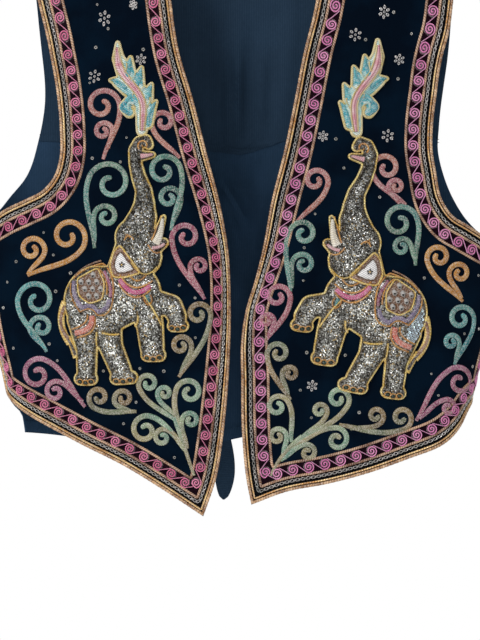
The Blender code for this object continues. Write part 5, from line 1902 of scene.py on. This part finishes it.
def make_back_stitches(material):
    """Rows of small stitches: two under the cross seam, and one along the hem, the neck and the armholes."""
    upper, _, seam_line, hem = back_rims()
    rows = [seam_line + [0, -0.0030], seam_line + [0, -0.0060], hem + [0, 0.0125]]
    ring = inset(thinned(upper, BACK_RIM_STEP, 20), 0.006)
    high = ring[:, 1] > seam_line[:, 1].max() + 0.012
    first = int(np.argmax(high & ~np.roll(high, 1)))
    rows.append(np.roll(ring, -first, axis=0)[: int(high.sum())])
    work = Work()
    rng = np.random.default_rng(21)
    for row in rows:
        line = evenly(row, STITCH_STEP)
        heading = np.arctan2(*np.gradient(line, axis=0).T[::-1])
        for place, turn, step in zip(line[:-1], heading, np.diff(reach_of(line))):
            if step < LONGEST_GAP:
                shade = tone("navy_thread", rng.random())
                work.stamp(form(stitch), place, STITCH_SIZE, turn, 0.0, shade)
    return work.piece("back_stitches", creased_back, [material])


class WaistcoatCloth(bpy.types.PropertyGroup):
    velvet: FloatVectorProperty(
        name="Velvet", description="Colour of the pile seen straight on", subtype="COLOR", size=3,
        default=tuple(linear("#020A16")), min=0, max=1,
    )
    velvet_brushed: FloatVectorProperty(
        name="Brushed velvet", description="Colour where the pile has been stroked over", subtype="COLOR",
        size=3, default=tuple(linear("#03111F")), min=0, max=1,
    )
    sheen: FloatProperty(
        name="Velvet sheen", description="How much the pile lightens where it turns away", default=0.03,
        min=0, max=1, subtype="FACTOR",
    )
    lining: FloatVectorProperty(
        name="Lining", description="Colour of the back and of the inside", subtype="COLOR", size=3,
        default=tuple(linear("#17293A")), min=0, max=1,
    )
    lining_worn: FloatVectorProperty(
        name="Faded lining", description="Colour where the lining has faded", subtype="COLOR", size=3,
        default=tuple(linear("#1F3346")), min=0, max=1,
    )
    # Painted light: the back's lower piece is the lining painted a lighter blue
    lower_lining_painted_lighter: FloatVectorProperty(
        name="Lower back", description="Colour of the back's lower piece", subtype="COLOR", size=3,
        default=tuple(linear("#192F43")), min=0, max=1,
    )
    # Painted light: where faded, the back's lower piece is also painted a lighter blue
    lower_worn_painted_lighter: FloatVectorProperty(
        name="Faded lower back", description="Colour where the back's lower piece has faded", subtype="COLOR",
        size=3, default=tuple(linear("#233C56")), min=0, max=1,
    )


class WaistcoatBorder(bpy.types.PropertyGroup):
    rose_pitch: FloatProperty(
        name="Rose spacing", description="Distance from one rose spiral to the next", default=0.0150,
        min=0.011, max=0.03, unit="LENGTH",
    )
    link_pitch: FloatProperty(
        name="Link spacing", description="Distance from one chain link to the next", default=0.0050,
        min=0.002, max=0.01, unit="LENGTH",
    )
    link_length: FloatProperty(
        name="Link length", description="Length of one chain link", default=0.0056, min=0.001, max=0.01,
        unit="LENGTH",
    )
    line_width: FloatProperty(
        name="Bronze line width", description="Width of the two cords beside the roses", default=0.0025,
        min=0.0005, max=0.004, unit="LENGTH",
    )
    cord_turn: FloatProperty(
        name="Cord turn", description="Length of one full turn of the tan edge cord", default=0.0048,
        min=0.003, max=0.03, unit="LENGTH",
    )


class WaistcoatEmbroidery(bpy.types.PropertyGroup):
    stroke_width: FloatProperty(
        name="Scroll width", description="Width of a couched scroll", default=0.0051, min=0.001, max=0.01,
        unit="LENGTH",
    )
    stroke_height: FloatProperty(
        name="Scroll height", description="How far a scroll stands off the velvet", default=0.0015,
        min=0.0003, max=0.004, unit="LENGTH",
    )
    sequin_size: FloatProperty(
        name="Sequin size", description="Width of one sequin", default=0.0014, min=0.001, max=0.006,
        unit="LENGTH",
    )
    elephant_pad: FloatProperty(
        name="Elephant padding", description="Height of the elephants' stuffing", default=0.0055,
        min=0.001, max=0.012, unit="LENGTH",
    )
    plume_pad: FloatProperty(
        name="Plume padding", description="Height of the plumes' stuffing", default=0.0030, min=0.001,
        max=0.008, unit="LENGTH",
    )


class WaistcoatStage(bpy.types.PropertyGroup):
    floor_height: FloatProperty(
        name="Floor height", description="Height of the floor below the shoulders", default=-1.0,
        min=-2.0, max=-0.6, unit="LENGTH",
    )
    floor_size: FloatProperty(
        name="Floor size", description="Width of the floor", default=3.0, min=1.0, max=8.0, unit="LENGTH",
    )
    brightness: FloatProperty(
        name="Brightness", description="Strength of the soft studio light", default=1.0, min=0.1, max=4.0,
        subtype="FACTOR",
    )
    lens: FloatProperty(
        name="Lens", description="Focal length of the camera", default=121.4, min=20, max=300, unit="CAMERA",
    )


FINISHES = {}


def finish(name, make, *facts, **more):
    """A finish, made once and then shared."""
    if name not in FINISHES:
        FINISHES[name] = make(*facts, **more)
    return FINISHES[name]


def velvet():
    return finish("velvet", velvet_material)


def lining():
    cloth = bpy.context.scene.waistcoat_cloth
    return finish("lining", lining_material, "cotton_twill_navy", cloth.lining, cloth.lining_worn)


def lower_lining_painted_lighter():
    # The back's lower piece is the yoke's navy twill painted a lighter blue, as painted light where more light
    # reaches the lower back inside the garment
    cloth = bpy.context.scene.waistcoat_cloth
    return finish("lower_lining_painted_lighter", lining_material, "cotton_twill_blue", cloth.lower_lining_painted_lighter, cloth.lower_worn_painted_lighter)


def gold_cord():
    # Metal-wrapped gimp cord: warm, half bright, with a slanting twist
    return finish("gold_cord", floss_material, "gilt_gimp_cord", 2.6, 0.38, metallic=0.3, around=1, gaps=0.45)


def bronze_cord():
    # Thin rayon gimp: dull pinkish bronze with a fine slanting twist, drawn 2.2 mm a turn
    return finish("bronze_cord", floss_material, "rayon_gimp_bronze", 2.2, 0.5, metallic=0.15, around=1)


def silk_floss():
    # Silk floss couched in close turns: soft lustre, a line each 1.6 mm where the real ones are 0.4 mm
    return finish("silk_floss", floss_material, "silk_floss_couched", 1.6, 0.55, fleck=0.7)


def rose_floss():
    # Twisted silk: brighter and smoother than the couched floss
    return finish("rose_floss", floss_material, "twisted_silk_rose", 1.3, 0.42, around=1, depth_mm=0.2, fleck=0.3)


def silver_thread():
    # Silver-wrapped thread: bright and hard beside the silks
    return finish("silver_thread", floss_material, "silver_wrapped_thread", 1.2, 0.3, metallic=0.5, fleck=0.3)


class WAISTCOAT_OT_fronts(bpy.types.Operator):
    """Makes the two velvet fronts with their ribbon grounds"""

    bl_idname = "waistcoat.fronts"
    bl_label = "Velvet fronts"

    def execute(self, context):
        chain_ground = finish("chain_ground", satin_ground_material, "silk_ribbon_black", "#040507", "#08090C")
        rose_ground = finish("rose_ground", satin_ground_material, "silk_ribbon_maroon", "#0E0209", "#190511")
        for side in SIDES:
            make_velvet_front(side, [velvet(), chain_ground, rose_ground, lining()])
        return {"FINISHED"}


class WAISTCOAT_OT_back(bpy.types.Operator):
    """Makes the back's yoke and lower piece"""

    bl_idname = "waistcoat.back"
    bl_label = "Lining-cloth back"

    def execute(self, context):
        make_back(lining(), lower_lining_painted_lighter())
        make_back_stitches(silk_floss())
        return {"FINISHED"}


class WAISTCOAT_OT_ties(bpy.types.Operator):
    """Makes the back straps, their knot and their hanging ends"""

    bl_idname = "waistcoat.ties"
    bl_label = "Back ties"

    def execute(self, context):
        make_ties(lining())
        make_knot(lining())
        return {"FINISHED"}


class WAISTCOAT_OT_borders(bpy.types.Operator):
    """Sews the edge cords, chain, bronze lines and rose spirals round each front"""

    bl_idname = "waistcoat.borders"
    bl_label = "Sewn borders"

    def execute(self, context):
        for side in SIDES:
            make_edge_cords(side, gold_cord())
            make_chain(side, silver_thread())
            make_border_lines(side, bronze_cord())
            make_roses(side, rose_floss())
        return {"FINISHED"}


class WAISTCOAT_OT_scrolls(bpy.types.Operator):
    """Couches the coloured scrolls on the velvet"""

    bl_idname = "waistcoat.scrolls"
    bl_label = "Couched scrolls"

    def execute(self, context):
        for side in SIDES:
            make_scrolls(side, silk_floss())
        return {"FINISHED"}


class WAISTCOAT_OT_elephants(bpy.types.Operator):
    """Pads and dresses the elephant on each front"""

    bl_idname = "waistcoat.elephants"
    bl_label = "Padded elephants"

    def execute(self, context):
        sequins = finish("sequins", sequin_material)
        jewel = finish("jewel", jewel_material)
        for side in SIDES:
            make_elephant(MOTIFS[side.name][0], side, (silk_floss(), gold_cord(), sequins, jewel))
        return {"FINISHED"}


class WAISTCOAT_OT_plumes(bpy.types.Operator):
    """Pads and stitches the leaf plume on each front"""

    bl_idname = "waistcoat.plumes"
    bl_label = "Padded plumes"

    def execute(self, context):
        for side in SIDES:
            make_plume(MOTIFS[side.name][1], side, silk_floss())
        return {"FINISHED"}


class WAISTCOAT_OT_beads(bpy.types.Operator):
    """Sews on the bead rosettes and the single beads"""

    bl_idname = "waistcoat.beads"
    bl_label = "Silver beads"

    def execute(self, context):
        for side in SIDES:
            make_rosettes(side, silver_thread())
        return {"FINISHED"}


Lamp = namedtuple("Lamp", "name place size power")
LAMPS = (
    Lamp("key_softbox", (-1.25, -1.9, 1.1), 0.7, 38),
    Lamp("fill_softbox", (0.04, -2.0, -0.43), 0.35, 5.5),
    Lamp("back_softbox", (0.6, 2.2, 0.9), 1.2, 16),
)
LIT_PLACE = (0, 0, -0.35)
CAMERA_PLACE = (-0.0005, -2.05, -0.3864)
SENSOR_WIDTH = 36


class WAISTCOAT_OT_stage(bpy.types.Operator):
    """Sets the pale floor, the soft lights and the camera"""

    bl_idname = "waistcoat.stage"
    bl_label = "Stage"

    def execute(self, context):
        stage = context.scene.waistcoat_stage
        bpy.ops.object.select_all(action="DESELECT")
        bpy.ops.mesh.primitive_plane_add(size=stage.floor_size, location=(0, 0, 0))
        floor = context.object
        floor.name = "pale_floor"
        bpy.ops.object.mode_set(mode="EDIT")
        bpy.ops.mesh.select_all(action="SELECT")
        bpy.ops.transform.translate(value=(0, 0, stage.floor_height))
        bpy.ops.mesh.subdivide(number_cuts=3)
        bpy.ops.object.mode_set(mode="OBJECT")
        material, tree, shader = new_material("painted_board_white", 0.8)
        colour = mixed(tree, speckle(tree, 90, 2), rgba("#F4F4F2"), rgba("#FBFBFA"))
        tree.links.new(colour, shader.inputs["Base Color"])
        floor.data.materials.append(material)
        world = bpy.data.worlds.new("white_studio")
        world.use_nodes = True
        tree = world.node_tree
        ground = tree.nodes["Background"]
        ground.inputs["Color"].default_value = (1.0, 1.0, 1.0, 1)
        # The backdrop is plain white to the eye and gives a softer light than it shows
        seen = add(tree, "ShaderNodeLightPath").outputs["Is Camera Ray"]
        glow = add(
            tree, "ShaderNodeMapRange", {}, {"Value": seen, "To Min": 0.55 * stage.brightness, "To Max": 1.0}
        )
        tree.links.new(glow.outputs[0], ground.inputs["Strength"])
        context.scene.world = world
        for name, place, size, power in LAMPS:
            lamp = bpy.data.lights.new(name, "AREA")
            lamp.shape = "SQUARE"
            lamp.size = size
            lamp.energy = power * stage.brightness
            made = bpy.data.objects.new(name, lamp)
            made.location = place
            aim = Vector(LIT_PLACE) - Vector(place)
            made.rotation_euler = aim.to_track_quat("-Z", "Y").to_euler()
            context.scene.collection.objects.link(made)
        camera = bpy.data.objects.new("photo_camera", bpy.data.cameras.new("photo_camera"))
        camera.data.sensor_width = SENSOR_WIDTH
        camera.data.lens = stage.lens
        camera.location = CAMERA_PLACE
        camera.rotation_euler = (np.radians(90), 0, 0)
        context.scene.collection.objects.link(camera)
        context.scene.camera = camera
        # Thread colours are given as seen, so they are shown without a film curve
        context.scene.view_settings.view_transform = "Standard"
        return {"FINISHED"}


OPERATORS = (
    WAISTCOAT_OT_stage,
    WAISTCOAT_OT_fronts,
    WAISTCOAT_OT_back,
    WAISTCOAT_OT_ties,
    WAISTCOAT_OT_borders,
    WAISTCOAT_OT_scrolls,
    WAISTCOAT_OT_elephants,
    WAISTCOAT_OT_plumes,
    WAISTCOAT_OT_beads,
)


class WAISTCOAT_PT_sidebar(bpy.types.Panel):
    """Sizes, colours and steps of the waistcoat"""

    bl_idname = "WAISTCOAT_PT_sidebar"
    bl_label = "Waistcoat"
    bl_space_type = "VIEW_3D"
    bl_region_type = "UI"
    bl_category = "Waistcoat"

    def draw(self, context):
        for group in (
            context.scene.waistcoat_cloth,
            context.scene.waistcoat_border,
            context.scene.waistcoat_embroidery,
            context.scene.waistcoat_stage,
        ):
            box = self.layout.box()
            for key in group.__annotations__:
                box.prop(group, key)
        for operator in OPERATORS:
            self.layout.operator(operator.bl_idname)


GROUPS = {
    "waistcoat_cloth": WaistcoatCloth,
    "waistcoat_border": WaistcoatBorder,
    "waistcoat_embroidery": WaistcoatEmbroidery,
    "waistcoat_stage": WaistcoatStage,
}


def register():
    for group in (*GROUPS.values(), *OPERATORS, WAISTCOAT_PT_sidebar):
        bpy.utils.register_class(group)
    for name, group in GROUPS.items():
        setattr(bpy.types.Scene, name, PointerProperty(type=group))


def unregister():
    for name in GROUPS:
        delattr(bpy.types.Scene, name)
    for group in (WAISTCOAT_PT_sidebar, *reversed(OPERATORS), *reversed(GROUPS.values())):
        bpy.utils.unregister_class(group)


def main():
    register()
    for operator in OPERATORS:
        group, name = operator.bl_idname.split(".")
        getattr(getattr(bpy.ops, group), name)()


if __name__ == "__main__":
    main()
